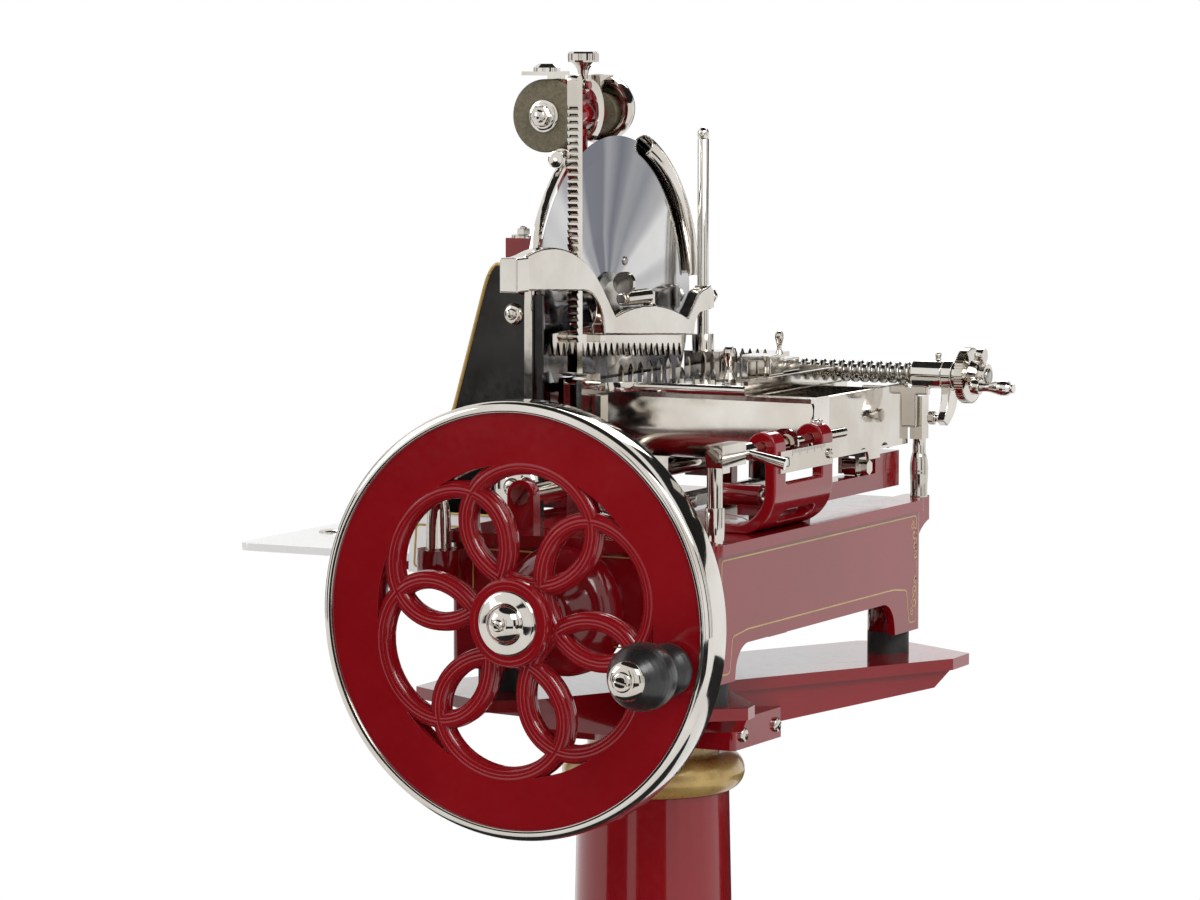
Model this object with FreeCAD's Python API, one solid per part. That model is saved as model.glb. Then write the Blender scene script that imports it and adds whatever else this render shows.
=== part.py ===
"""Hand crank meat slicer on its pedestal.

Frame: origin on the floor under the pedestal column, +Z up, +X towards the feed crank,
-Y towards the flywheel side where the operator stands.  All sizes in millimetres.

The flywheel turns about Y.  A bevel pair in the base turns a crank disc about Z, and a
connecting rod drives the carriage along Y past the round knife, which turns about X.
The meat table is fed along X by a screw behind the carriage.
"""
import FreeCAD, Part
import math
import os

os.makedirs("parts", exist_ok=True)
V = FreeCAD.Vector

# ---------------------------------------------------------------- driving dimensions
RUN = 0.06            # radial clearance of a running fit
GAP = 0.5             # gap between neighbours that move past each other

# pedestal
PED_H = 787.0         # height of the pads that carry the machine's feet
PED_FOOT_R = 262.0
PED_FOOT_T = 18.0
COL_R_BOT = 96.0
COL_R_TOP = 78.0
COL_TOP = PED_H - 118.0   # top of the red column
RING_R = 94.0         # gilt torus under the head
RING_H = 40.0
NECK_R = 68.0
HEAD_X = 120.0        # half length of the clamping saddle
HEAD_Y = 56.0         # half width of the clamping saddle
HEAD_T = 31.0
HEAD_BOT = PED_H - 64.0
ARM_T = 12.0          # thickness of the pad plates
ARM_W = 84.0          # half width of the two long arms
ARM_W2 = 46.0         # half width of the two short arms
ARM_RIB = 40.0        # depth of the tapered ribs below the arms
ARM_OVER = 62.0       # how far a long arm runs on past its foot

# machine base
BASE_X0 = -128.0      # left flank
BASE_X1 = 168.0       # right flank
BASE_Y0 = -195.0      # front face
BASE_Y1 = 294.0       # rear face
FOOT_H = 23.0
FOOT_R = 22.0
LEG_H = 35.0          # leg below the arched sill
LEG_L = 44.0          # length of a leg along the flank
DECK_H = 138.0        # deck above the bottom of the legs
WALL = 9.0
DECK_T = 10.0
FLANGE = 5.0          # lip of the deck round the top
FLANGE_H = 12.0
FOOT_XL = BASE_X0 + 40.0
FOOT_XR = BASE_X1 - 25.0
FOOT_YF = BASE_Y0 + 30.0
FOOT_YB = BASE_Y1 - 29.0
LEG_BOT = PED_H + FOOT_H
DECK_Z = LEG_BOT + DECK_H
SILL_Z = LEG_BOT + LEG_H

# flywheel
HUB_Z = DECK_Z - 73.0     # height of the flywheel axis
WHEEL_Y = BASE_Y0 - 105.0  # front plane of the rim
WHEEL_R = 215.0
RIM_T = 11.0          # radial thickness of the nickel tyre
RIM_D = 38.0          # depth of the tyre
WEB_IN = WHEEL_R - 58.0    # inner radius of the flat band
WEB_D0 = 3.0          # band set back from the tyre's front face
WEB_T = 20.0
HUB_R = 43.0
PETAL_OUT = WEB_IN - 3.0   # outer end of a rib oval, inside the band
PETAL_IN = HUB_R - 7.0     # inner end, inside the hub
PETAL_C = (PETAL_OUT + PETAL_IN) / 2   # centre radius of one rib oval
PETAL_A = (PETAL_OUT - PETAL_IN) / 2   # radial half length of a rib oval
PETAL_B = 70.0        # tangential half length
RIB_W = 17.0          # width of a rib
RIB_T = 13.0
PETALS = 6
PETAL_TURN = 20.6     # angle of the first oval from +X
HUB_F = 9.0           # hub stands out in front of the band
CAP_R = 32.0
SHAFT_R = 14.0
GRIP_R = WHEEL_R - 38.0    # radius of the grip's axis on the wheel
GRIP_A = -11.0        # angle of the grip at rest
GRIP_BALL = 33.0
SPINDLE_R = 7.0
BELL_R = 66.0         # shaft housing where it meets the base
BELL_R1 = 25.0
BELL_L = 56.0

# crank and connecting rod
CRANK_Y = -38.0       # crank axis, straight above the shaft's line
CRANK_R = 98.0        # throw of the crank pin; the carriage travels twice this
DISC_R = CRANK_R + 14.0
DISC_T = 9.0
PIN_R = 9.0
STEM_R = 12.0         # stem of the crank disc
ROD_L = 205.0
ROD_W = 24.0
ROD_T = 12.0
ROD_EYE = 17.0
PINION_R = 48.0       # mean radius of the bevel pinion
RING_TEETH_RATIO = 2.0  # crank ring to pinion
BEVEL_F = 16.0        # face width of the bevel pair

# knife
KNIFE_X = BASE_X0 + 20.0   # cutting plane
KNIFE_Y = 120.0
KNIFE_Z = DECK_Z + 212.0
KNIFE_R = 173.0
KNIFE_T = 3.2
KNIFE_HUB = 30.0
KSHAFT_R = 12.0
GUARD_R = KNIFE_R + 11.0   # outer radius of the front guard band
GUARD_T = 4.0
GUARD_W = 9.0
PIPE_R = 12.0         # half pipe over the rear of the edge
PIPE_T = 2.2
CASE_X1 = KNIFE_X - 14.0   # knife bearing casting
CASE_X0 = CASE_X1 - 70.0
CASE_Y1 = KNIFE_Y + 95.0
CASE_TOP = KNIFE_Z + 64.0

# carriage
CAR_X0 = KNIFE_X + 17.0
CAR_X1 = BASE_X1 - 18.0
CAR_Y0 = CRANK_Y + CRANK_R + ROD_L - 207.0   # front edge with the carriage fully back
CAR_Y1 = CAR_Y0 + 232.0
TRACK_X = CAR_X1 - 22.0   # red track under the tray
TRACK_W = 24.0
TRACK_Z0 = DECK_Z + 13.0
TRACK_Z1 = TRACK_Z0 + 18.0
CAR_Z0 = TRACK_Z1 + 24.0
CAR_Z1 = CAR_Z0 + 68.0
CAR_W = 4.0
RAIL_R = 10.0
RAIL_X = CAR_X0 + 29.0
ROLLER_R = 9.0
ROLLER_Y = CAR_Y1 - 85.0
POST_X = CAR_X0 + 4.0
RACK_Y = CAR_Y0 - 66.0
RACK_W = 11.5
RACK_Z1 = CAR_Z1 + 328.0
TOOTH = 7.2
TOOTH_D = 3.6
RPOST_Y = CAR_Y1 - 6.0
RPOST_R = 6.2
RPOST_Z1 = CAR_Z1 + 267.0

# meat table and feed
TAB_T = 10.0
TAB_X1 = CAR_X1 - 72.0
SCREW_Y = CAR_Y1 + 16.0
SCREW_Z = CAR_Z1 + 9.0
SCREW_R = 12.0
SCREW_CORE = SCREW_R - 3.5
SCREW_X0 = CAR_X0 + 13.0
HOUSE_X0 = CAR_X1 + 4.0
HOUSE_X1 = HOUSE_X0 + 35.0
HOUSE_R = 15.0
RATCH_R = 29.5
RATCH_T = 9.0
RATCH_N = 60

# meat clamp
YOKE_T = 15.0
COMB_T = 3.5
COMB_TOOTH = 13.0
COMB_PITCH = 13.0

# knife cover
COV_Y0 = KNIFE_Y - KNIFE_R - 6.0    # the cover stands just in front of the blade
COV_T = 4.0

# receiving plate
PLATE_X0 = BASE_X0 - 347.0
PLATE_Y0 = COV_Y0 + COV_T + 5.0    # the plate ends behind the cover and the apron
PLATE_Y1 = 208.0
PLATE_T = 8.0
PLATE_Z = DECK_Z - 55.0

# thickness adjuster
ADJ_X = BASE_X1 - 1.0
ADJ_Z = DECK_Z + 87.0
ADJ_R = 5.0
HOOK_R = 15.5
HOOK_T = 11.5         # thickness of the bent bracket
HOOK_W = 25.0         # width of one hook along the rod
HOOK_Y0 = BASE_Y0 + 103.0
HOOK_GAP = 84.0       # open space between the hooks
ADJ_Y1 = HOOK_Y0 + 196.0
POINTER_R = 15.0
POINTER_Y = HOOK_Y0 + 54.0  # where the pointer disc rests on the rod

# ---------------------------------------------------------------- derived levels
TAB_Z0 = CAR_Z1 + GAP
TAB_Z1 = TAB_Z0 + TAB_T


# ---------------------------------------------------------------- helpers
def rad(a):
    return math.radians(a)


def box(x0, x1, y0, y1, z0, z1):
    return Part.makeBox(x1 - x0, y1 - y0, z1 - z0, V(x0, y0, z0))


def cyl(r, h, base, axis):
    return Part.makeCylinder(r, h, V(*base), V(*axis))


def cx(r, x0, x1, y, z):
    return Part.makeCylinder(r, x1 - x0, V(x0, y, z), V(1, 0, 0))


def cy(r, y0, y1, x, z):
    return Part.makeCylinder(r, y1 - y0, V(x, y0, z), V(0, 1, 0))


def cz(r, z0, z1, x, y):
    return Part.makeCylinder(r, z1 - z0, V(x, y, z0), V(0, 0, 1))


def union(shapes):
    s = shapes[0]
    for t in shapes[1:]:
        s = s.fuse(t)
    return s.removeSplitter()


def face(points):
    """Planar face through 3-D points; a triple (p, mid, q) list item is an arc."""
    edges = []
    n = len(points)
    for i in range(n):
        a = points[i]
        b = points[(i + 1) % n]
        if a[0] == "arc":
            continue
        if b[0] == "arc":
            c = points[(i + 2) % n]
            edges.append(Part.Arc(V(*a[1]), V(*b[1]), V(*c[1])).toShape())
        else:
            edges.append(Part.makeLine(V(*a[1]), V(*b[1])))
    return Part.Face(Part.Wire(edges))


def outline_yz(x, pts):
    return face([(p[2] if len(p) > 2 else "p", (x, p[0], p[1])) for p in pts])


def outline_xz(y, pts):
    return face([(p[2] if len(p) > 2 else "p", (p[0], y, p[1])) for p in pts])


def outline_xy(z, pts):
    return face([(p[2] if len(p) > 2 else "p", (p[0], p[1], z)) for p in pts])


def turned(profile, origin, axis):
    """Solid of revolution: profile is a list of (radius, distance along the axis)."""
    o = V(*origin)
    a = V(*axis).normalize()
    r = V(0, 0, 1) if abs(a.z) < 0.9 else V(1, 0, 0)
    r = (r - a * r.dot(a)).normalize()
    pts = [o + r * p[0] + a * p[1] for p in profile]
    w = Part.makePolygon(pts + [pts[0]])
    return Part.Face(w).revolve(o, a, 360)


def smooth_turned(profile, origin, axis, per=2):
    """Solid of revolution with a rounded outer line through (radius, distance) points."""
    c = Part.BSplineCurve()
    c.interpolate([V(p[0], p[1], 0) for p in profile])
    n = per * (len(profile) - 1)
    t0, t1 = c.FirstParameter, c.LastParameter
    pts = [c.value(t0 + (t1 - t0) * i / n) for i in range(n + 1)]
    line = [(max(p.x, 0.0), p.y) for p in pts]
    line[0], line[-1] = profile[0], profile[-1]
    if profile[-1][0] > 1e-6:
        line.append((0, profile[-1][1]))
    if profile[0][0] > 1e-6:
        line.insert(0, (0, profile[0][1]))
    return turned(line, origin, axis)


def bar(p, q, r):
    d = V(*q) - V(*p)
    return Part.makeCylinder(r, d.Length, V(*p), d)


def screw_head(p, axis, r, h):
    """Domed slotted screw head standing on point p."""
    a = V(*axis)
    s = smooth_turned([(r, 0), (r * 0.93, h * 0.45), (r * 0.6, h * 0.88), (0, h)], p, axis)
    slot = Part.makeBox(3 * r, r * 0.22, h, V(-1.5 * r, -r * 0.11, h * 0.55))
    slot.Placement = FreeCAD.Placement(V(*p), FreeCAD.Rotation(V(0, 0, 1), a))
    return s.cut(slot)


def hex_nut(p, axis, flats, h):
    a = V(*axis)
    r = flats / math.sqrt(3)
    pts = [V(r * math.cos(rad(60 * i)), r * math.sin(rad(60 * i)), 0) for i in range(6)]
    s = Part.Face(Part.makePolygon(pts + [pts[0]])).extrude(V(0, 0, h))
    s.Placement = FreeCAD.Placement(V(*p), FreeCAD.Rotation(V(0, 0, 1), a))
    return s


NODES = {}


def node(name, shape):
    NODES[name] = shape


# ================================================================ pedestal
foot_profile = [(0, 0), (PED_FOOT_R, 0), (PED_FOOT_R, PED_FOOT_T),
                (PED_FOOT_R - 14, PED_FOOT_T + 8), (PED_FOOT_R - 62, PED_FOOT_T + 20),
                (PED_FOOT_R - 112, PED_FOOT_T + 44), (COL_R_BOT + 26, PED_FOOT_T + 82),
                (COL_R_BOT + 12, PED_FOOT_T + 96), (0, PED_FOOT_T + 96)]
COL_BOT = PED_FOOT_T + 96
node("pedestal_foot", turned(foot_profile, (0, 0, 0), (0, 0, 1)))
node("pedestal_column", turned([(0, COL_BOT), (COL_R_BOT, COL_BOT), (COL_R_BOT, COL_BOT + 22),
                                (COL_R_BOT - 6, COL_BOT + 30), (COL_R_TOP, COL_TOP), (0, COL_TOP)],
                               (0, 0, 0), (0, 0, 1)))
ring = cz(NECK_R, COL_TOP, HEAD_BOT, 0, 0).fuse(
    cz(RING_R - RING_H / 2, COL_TOP, COL_TOP + RING_H, 0, 0)).fuse(
    Part.makeTorus(RING_R - RING_H / 2, RING_H / 2, V(0, 0, COL_TOP + RING_H / 2)))
ring = ring.common(cz(RING_R + 5, COL_TOP, HEAD_BOT, 0, 0))
node("pedestal_ring", ring.removeSplitter())

ARM_Z0 = PED_H - ARM_T


def arm(fx, fy, half, over, chamfer):
    """Pad plate from the column axis to past one foot, with two tapered ribs."""
    length = math.hypot(fx, fy) + over
    c = chamfer
    plate = outline_xy(0, [(0, -half), (length - c, -half), (length, -half + c * 0.6),
                           (length, half - c * 0.6), (length - c, half), (0, half)]
                       ).extrude(V(0, 0, ARM_T))
    ribs = []
    for s in (-1, 1):
        y = s * (half - 12)
        w = Part.makePolygon([V(0, y - 5, 0), V(length - over * 0.6, y - 5, 0),
                              V(length - over * 0.6 - 22, y - 5, -ARM_RIB * 0.45),
                              V(NECK_R, y - 5, -ARM_RIB), V(0, y - 5, -ARM_RIB), V(0, y - 5, 0)])
        ribs.append(Part.Face(w).extrude(V(0, 10, 0)))
    s = plate.fuse(ribs)
    s.rotate(V(0, 0, 0), V(0, 0, 1), math.degrees(math.atan2(fy, fx)))
    s.translate(V(0, 0, ARM_Z0))
    return s


head = cz(NECK_R, HEAD_BOT, PED_H, 0, 0)
saddle = box(-HEAD_X, HEAD_X, -HEAD_Y, HEAD_Y, HEAD_BOT, HEAD_BOT + HEAD_T)
saddle = saddle.makeFillet(5, [e for e in saddle.Edges if abs(e.Vertexes[0].Z - e.Vertexes[1].Z) > 1])
head = union([head, saddle,
              arm(FOOT_XR, FOOT_YB, ARM_W, ARM_OVER, 40),
              arm(FOOT_XL, FOOT_YF, ARM_W, ARM_OVER, 40),
              arm(FOOT_XR, FOOT_YF, ARM_W2, 34, 20),
              arm(FOOT_XL, FOOT_YB, ARM_W2, 34, 20)])
node("pedestal_head", head)
node("rubber_feet", Part.makeCompound(
    [cz(FOOT_R, PED_H, LEG_BOT, x, y) for x in (FOOT_XL, FOOT_XR) for y in (FOOT_YF, FOOT_YB)]))

# ================================================================ machine base
GUIDE_Z = DECK_Z + 36.0
GY0, GY1 = BASE_Y0 + 23.0, BASE_Y1 - 4.0
outer = box(BASE_X0, BASE_X1, BASE_Y0, BASE_Y1, LEG_BOT, DECK_Z)
outer = outer.makeFillet(8, [e for e in outer.Edges
                             if abs(e.Vertexes[0].Z - e.Vertexes[1].Z) > 1])
inner = box(BASE_X0 + WALL, BASE_X1 - WALL, BASE_Y0 + WALL, BASE_Y1 - WALL,
            LEG_BOT - 1, DECK_Z - DECK_T)
base = outer.cut(inner)
lip = box(BASE_X0 - FLANGE, BASE_X1 + FLANGE, BASE_Y0 - FLANGE, BASE_Y1 + FLANGE,
          DECK_Z - FLANGE_H, DECK_Z)
lip = lip.makeFillet(8 + FLANGE, [e for e in lip.Edges
                                  if abs(e.Vertexes[0].Z - e.Vertexes[1].Z) > 1])
lip = lip.cut(inner)
base = base.fuse(lip)


def arch(a0, a1, flare):
    """Opening under a flank or an end wall: (distance, height) outline of the cut."""
    return [(a0, LEG_BOT - 1), (a0 + 2, LEG_BOT + LEG_H * 0.35),
            (a0 + flare * 0.45, SILL_Z - LEG_H * 0.12, "arc"), (a0 + flare, SILL_Z),
            (a1 - flare, SILL_Z), (a1 - flare * 0.45, SILL_Z - LEG_H * 0.12, "arc"),
            (a1 - 2, LEG_BOT + LEG_H * 0.35), (a1, LEG_BOT - 1)]


side_cut = outline_yz(BASE_X0 - 20, arch(BASE_Y0 + LEG_L, BASE_Y1 - LEG_L - 22, 34)
                      ).extrude(V(BASE_X1 - BASE_X0 + 40, 0, 0))
end_cut = outline_xz(BASE_Y0 - 20, arch(BASE_X0 + LEG_L + 18, BASE_X1 - LEG_L - 6, 30)
                     ).extrude(V(0, BASE_Y1 - BASE_Y0 + 40, 0))
base = base.cut(side_cut).cut(end_cut)

# solid pads inside the legs for the rubber feet
for fx in (FOOT_XL, FOOT_XR):
    for fy in (FOOT_YF, FOOT_YB):
        pad = cz(FOOT_R, LEG_BOT, SILL_Z, fx, fy)
        base = base.fuse(pad.common(box(BASE_X0 + 1, BASE_X1 - 1, BASE_Y0 + 1, BASE_Y1 - 1,
                                        LEG_BOT, SILL_Z)))

# bell shaped housing of the flywheel shaft, with its bore
bell = smooth_turned([(BELL_R1, 0), (BELL_R1 + 3, 8), (BELL_R * 0.72, BELL_L * 0.42),
                      (BELL_R * 0.95, BELL_L * 0.78), (BELL_R, BELL_L + WALL)],
                     (0, BASE_Y0 - BELL_L, HUB_Z), (0, 1, 0))
base = base.fuse(bell)
boss_in = cy(SHAFT_R + 12, BASE_Y0 + WALL - 1, BASE_Y0 + 40, 0, HUB_Z)
base = base.fuse(boss_in)
base = base.cut(cy(SHAFT_R + RUN, BASE_Y0 - BELL_L - 1, BASE_Y0 + 41, 0, HUB_Z))

# round opening in the deck for the crank disc
base = base.cut(cz(DISC_R + 2, DECK_Z - DECK_T - 1, DECK_Z + 1, 0, CRANK_Y))
# bearing bridge under the disc, below the line of the shaft
BRIDGE_Z = DECK_Z - 90
bridge = box(BASE_X0 + WALL - 1, BASE_X1 - WALL + 1, CRANK_Y - 20, CRANK_Y + 20,
             BRIDGE_Z - 16, BRIDGE_Z)
bridge = bridge.fuse(cz(24, BRIDGE_Z - 16, BRIDGE_Z, 0, CRANK_Y))
base = base.fuse(bridge).cut(cz(STEM_R + RUN, BRIDGE_Z - 20, BRIDGE_Z + 5, 0, CRANK_Y))

# rear lug with a curved gusset for the trip post
LUG_Y1 = BASE_Y1 + 40
LUG_X0 = 132.0
yl = BASE_Y1 - WALL / 2
lug = outline_yz(LUG_X0, [(yl, DECK_Z), (LUG_Y1, DECK_Z), (LUG_Y1, DECK_Z - 26),
                          (BASE_Y1 + 13, DECK_Z - 40, "arc"), (yl, DECK_Z - 84)]
                 ).extrude(V(BASE_X1 - WALL - LUG_X0, 0, 0))
base = base.fuse(lug).removeSplitter()
# front left lug for the cover post
LLUG_X = BASE_X0 - 2
LLUG_Y = BASE_Y0 - 20
llug = cz(22, DECK_Z - 50, DECK_Z - 17, LLUG_X, LLUG_Y).fuse(
    box(LLUG_X - 13, LLUG_X + 20, LLUG_Y, BASE_Y0 + 3, DECK_Z - 50, DECK_Z - 17))
base = base.fuse(llug)
# end blocks of the guide rod
for y in (GY0 + 2, GY1 - 16):
    blk = box(RAIL_X - 15, RAIL_X + 15, y, y + 14, DECK_Z, GUIDE_Z).fuse(
        cy(15, y, y + 14, RAIL_X, GUIDE_Z))
    base = base.fuse(blk).cut(cy(RAIL_R, y - 1, y + 15, RAIL_X, GUIDE_Z))
# bracket arms of the receiving plate on the left flank
BK_Z = PLATE_Z - 6
arms = [box(PLATE_X0 + 120, BASE_X0 + 2, y, y + 14, BK_Z - 12, BK_Z + 5.5)
        for y in (PLATE_Y0 + 70, PLATE_Y0 + 190)]
arms.append(box(BASE_X0 - 8, BASE_X0 + 2, PLATE_Y0 + 50, PLATE_Y0 + 224, BK_Z - 30, BK_Z + 5.5))
base = base.fuse(arms)
node("base", base.removeSplitter())

# ================================================================ flywheel
WY = WHEEL_Y
tyre = turned([(WHEEL_R - RIM_T, WY + 1), (WHEEL_R - RIM_T + 1, WY), (WHEEL_R - 5, WY),
               (WHEEL_R - 2.5, WY + 0.8), (WHEEL_R - 0.8, WY + 2.5), (WHEEL_R, WY + 5), (WHEEL_R, WY + RIM_D - 3),
               (WHEEL_R - 3, WY + RIM_D), (WHEEL_R - RIM_T, WY + RIM_D)], (0, 0, HUB_Z), (0, 1, 0))
node("flywheel_tyre", tyre)

BAND_Y0 = WY + WEB_D0
band = cy(WHEEL_R - RIM_T, BAND_Y0, BAND_Y0 + WEB_T, 0, HUB_Z).cut(
    cy(WEB_IN - 4, BAND_Y0 - 1, BAND_Y0 + WEB_T + 1, 0, HUB_Z))


def oval(a, b):
    e = Part.Ellipse(V(0, 0, 0), max(a, b), min(a, b)).toShape()
    if b > a:
        e.rotate(V(0, 0, 0), V(0, 0, 1), 90)
    return Part.Face(Part.Wire([e]))


def rib_ring(width, depth):
    r = oval(PETAL_A + width / 2, PETAL_B + width / 2).cut(
        oval(PETAL_A - width / 2, PETAL_B - width / 2))
    s = r.extrude(V(0, 0, depth))
    return s


flower = []
for i in range(PETALS):
    ang = PETAL_TURN + i * 360.0 / PETALS
    for w, y0, d in ((RIB_W, BAND_Y0 + 3, RIB_T), (RIB_W * 0.62, BAND_Y0, RIB_T)):
        s = rib_ring(w, d)
        s.translate(V(PETAL_C, 0, 0))
        s.rotate(V(0, 0, 0), V(0, 0, 1), ang)
        s.rotate(V(0, 0, 0), V(1, 0, 0), 90)
        s.translate(V(0, y0 + d, HUB_Z))
        flower.append(s)
limit = cy(WHEEL_R - RIM_T - 6, BAND_Y0 - 1, BAND_Y0 + WEB_T + 1, 0, HUB_Z)
flower = flower[0].fuse(flower[1:]).common(limit)
hub = turned([(0, WY - HUB_F), (HUB_R - 6, WY - HUB_F), (HUB_R, WY - HUB_F + 6),
              (HUB_R, WY + 26), (HUB_R - 10, WY + 36), (26, WY + 44), (0, WY + 44)],
             (0, 0, HUB_Z), (0, 1, 0))
web = band.fuse(flower).fuse(hub)
web = web.cut(cy(SHAFT_R, WY - HUB_F + 4, WY + 60, 0, HUB_Z))
gx = GRIP_R * math.cos(rad(GRIP_A))
gz = HUB_Z + GRIP_R * math.sin(rad(GRIP_A))
web = web.fuse(cy(14, BAND_Y0 - 3, BAND_Y0 + WEB_T, gx, gz))
web = web.cut(cy(SPINDLE_R, BAND_Y0 - 10, BAND_Y0 + WEB_T + 2, gx, gz))
node("flywheel_web", web)
CAP_Y = WY - HUB_F
cap = smooth_turned([(CAP_R, 0), (CAP_R - 1, 3), (CAP_R - 9, 5), (CAP_R - 12, 10),
                     (CAP_R - 20, 17), (0, 21)], (0, CAP_Y, HUB_Z), (0, -1, 0))
cap = cap.fuse(screw_head((0, CAP_Y - 19, HUB_Z), (0, -1, 0), 7, 6))
node("hub_cap", cap)
# shaft with a shoulder behind the wheel and the bevel pinion at its rear end
# the bevel cones meet where the shaft's axis crosses the crank's
PIN_D = PINION_R * RING_TEETH_RATIO
SHAFT_Y1 = CRANK_Y - PIN_D + BEVEL_F / 2
shaft = cy(SHAFT_R, WY - HUB_F + 4, SHAFT_Y1, 0, HUB_Z)
k = 1.0 / RING_TEETH_RATIO
pinion = turned([(0, SHAFT_Y1 - BEVEL_F), (k * (PIN_D + BEVEL_F / 2) - GAP, SHAFT_Y1 - BEVEL_F),
                 (k * (PIN_D - BEVEL_F / 2) - GAP, SHAFT_Y1), (0, SHAFT_Y1)],
                (0, 0, HUB_Z), (0, 1, 0))
node("main_shaft", shaft.fuse(pinion).removeSplitter())

# turned grip on its spindle
GRIP_Y0 = BAND_Y0 - 3 - GAP
g = smooth_turned([(22, 0), (26, 6), (24, 16), (18.5, 25), (21, 33), (30, 44), (GRIP_BALL, 58),
                   (31, 72), (25, 83), (19, 90)], (gx, GRIP_Y0, gz), (0, -1, 0))
g = g.cut(cy(SPINDLE_R + RUN, GRIP_Y0 - 95, GRIP_Y0 + 1, gx, gz))
node("crank_grip", g)
sp = cy(SPINDLE_R, GRIP_Y0 - 90 - GAP - 1, BAND_Y0 + WEB_T, gx, gz)
ferrule = smooth_turned([(19.5, 0), (19.5, 3), (15, 8), (8, 10.5), (0, 11)],
                        (gx, GRIP_Y0 - 90 - GAP, gz), (0, -1, 0))
ferrule = ferrule.fuse(screw_head((gx, GRIP_Y0 - 100, gz), (0, -1, 0), 8, 4))
node("grip_spindle", sp.fuse(ferrule).removeSplitter())

# ================================================================ crank and connecting rod
DISC_Z1 = DECK_Z        # the disc lies flush in the deck
RING_Z1 = DISC_Z1 - DISC_T
disc = cz(DISC_R, RING_Z1, DISC_Z1, 0, CRANK_Y)
disc = disc.fuse(cz(STEM_R, BRIDGE_Z - 16, RING_Z1, 0, CRANK_Y))
disc = disc.fuse(cz(STEM_R + 6, BRIDGE_Z + GAP, RING_Z1, 0, CRANK_Y))
disc = disc.cut(cz(PIN_R + RUN, RING_Z1 - 1, DISC_Z1 + 1, 0, CRANK_Y + CRANK_R))
r0 = PIN_D - BEVEL_F / 2
r1 = PIN_D + BEVEL_F / 2
crown = turned([(r0 - 5, RING_Z1), (r1 + 2, RING_Z1), (r1, HUB_Z + k * r1), (r0, HUB_Z + k * r0),
                (r0 - 5, HUB_Z + k * r0)], (0, CRANK_Y, 0), (0, 0, 1))
node("crank_disc", disc.fuse(crown).removeSplitter())

ROD_Z0 = DISC_Z1 + 5.0
ROD_Z1 = ROD_Z0 + ROD_T
CPIN_Y = CRANK_Y + CRANK_R
CAR_PIN_Y = CPIN_Y + ROD_L
rod = union([box(-ROD_W / 2, ROD_W / 2, CPIN_Y, CAR_PIN_Y, ROD_Z0, ROD_Z1),
             cz(ROD_EYE, ROD_Z0, ROD_Z1, 0, CPIN_Y), cz(ROD_EYE, ROD_Z0, ROD_Z1, 0, CAR_PIN_Y)])
rod = rod.cut(cz(PIN_R + RUN, ROD_Z0 - 1, ROD_Z1 + 1, 0, CAR_PIN_Y))
rod = rod.cut(box(-ROD_W / 4, ROD_W / 4, CPIN_Y + ROD_EYE + 8, CAR_PIN_Y - ROD_EYE - 8,
                  ROD_Z1 - 3, ROD_Z1 + 1))
# the crank pin is fixed in the rod and ends just above the disc's socket
node("connecting_rod", rod.fuse(cz(PIN_R, DISC_Z1 + 0.4, ROD_Z1 + 1, 0, CPIN_Y)).removeSplitter())

# ================================================================ knife
KX = KNIFE_X
KB = KX - KNIFE_T - 9
knife_line = [(0, KB), (70, KB), (150, KX - KNIFE_T), (KNIFE_R - 12, KX - KNIFE_T),
              (KNIFE_R, KX - 0.6), (KNIFE_R, KX), (KNIFE_R - 20, KX - 1.0), (70, KX - 9), (0, KX - 9)]
node("knife", turned(knife_line, (0, KNIFE_Y, KNIFE_Z), (1, 0, 0)))
boss = turned([(0, KX - 9), (KNIFE_HUB, KX - 9), (KNIFE_HUB, KX - 6.5), (KNIFE_HUB - 10, KX - 4),
               (0, KX - 4)], (0, KNIFE_Y, KNIFE_Z), (1, 0, 0))
holes = [screw_head((KX - 9, KNIFE_Y + 56 * math.cos(rad(45 + 120 * i)),
                     KNIFE_Z + 56 * math.sin(rad(45 + 120 * i))), (1, 0, 0), 5, 2.5)
         for i in range(3)]
SHAFT_X0 = CASE_X0 - 16
kshaft = cx(KSHAFT_R, SHAFT_X0, KB, KNIFE_Y, KNIFE_Z).fuse(
    turned([(0, SHAFT_X0), (24, SHAFT_X0), (30, SHAFT_X0 + 5), (30, CASE_X0 - GAP), (0, CASE_X0 - GAP)],
           (0, KNIFE_Y, KNIFE_Z), (1, 0, 0))).removeSplitter()
node("knife_shaft", Part.makeCompound([kshaft, boss] + holes))

# knife bearing tower: the cover's outline run back along Y, topped by a sloping line
TOW_Y0 = COV_Y0 + 9.0
CASE_R = CASE_X1 - 2.5


def tower_outline(inset):
    i = inset
    x = CASE_R
    return [(x, DECK_Z + 2 + i), (x, CASE_TOP - 16 - i), (x - 23.5, CASE_TOP - 16 - i),
            (x - 33.5 + i, CASE_TOP - 26 - i, "arc"), (x - 41.5 + i, CASE_TOP - 44 - i),
            (x - 76.5 + i, DECK_Z + 111), (x - 101.5 + i, DECK_Z + 52, "arc"),
            (x - 124.5 + i, DECK_Z - 2 + i)]


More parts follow.
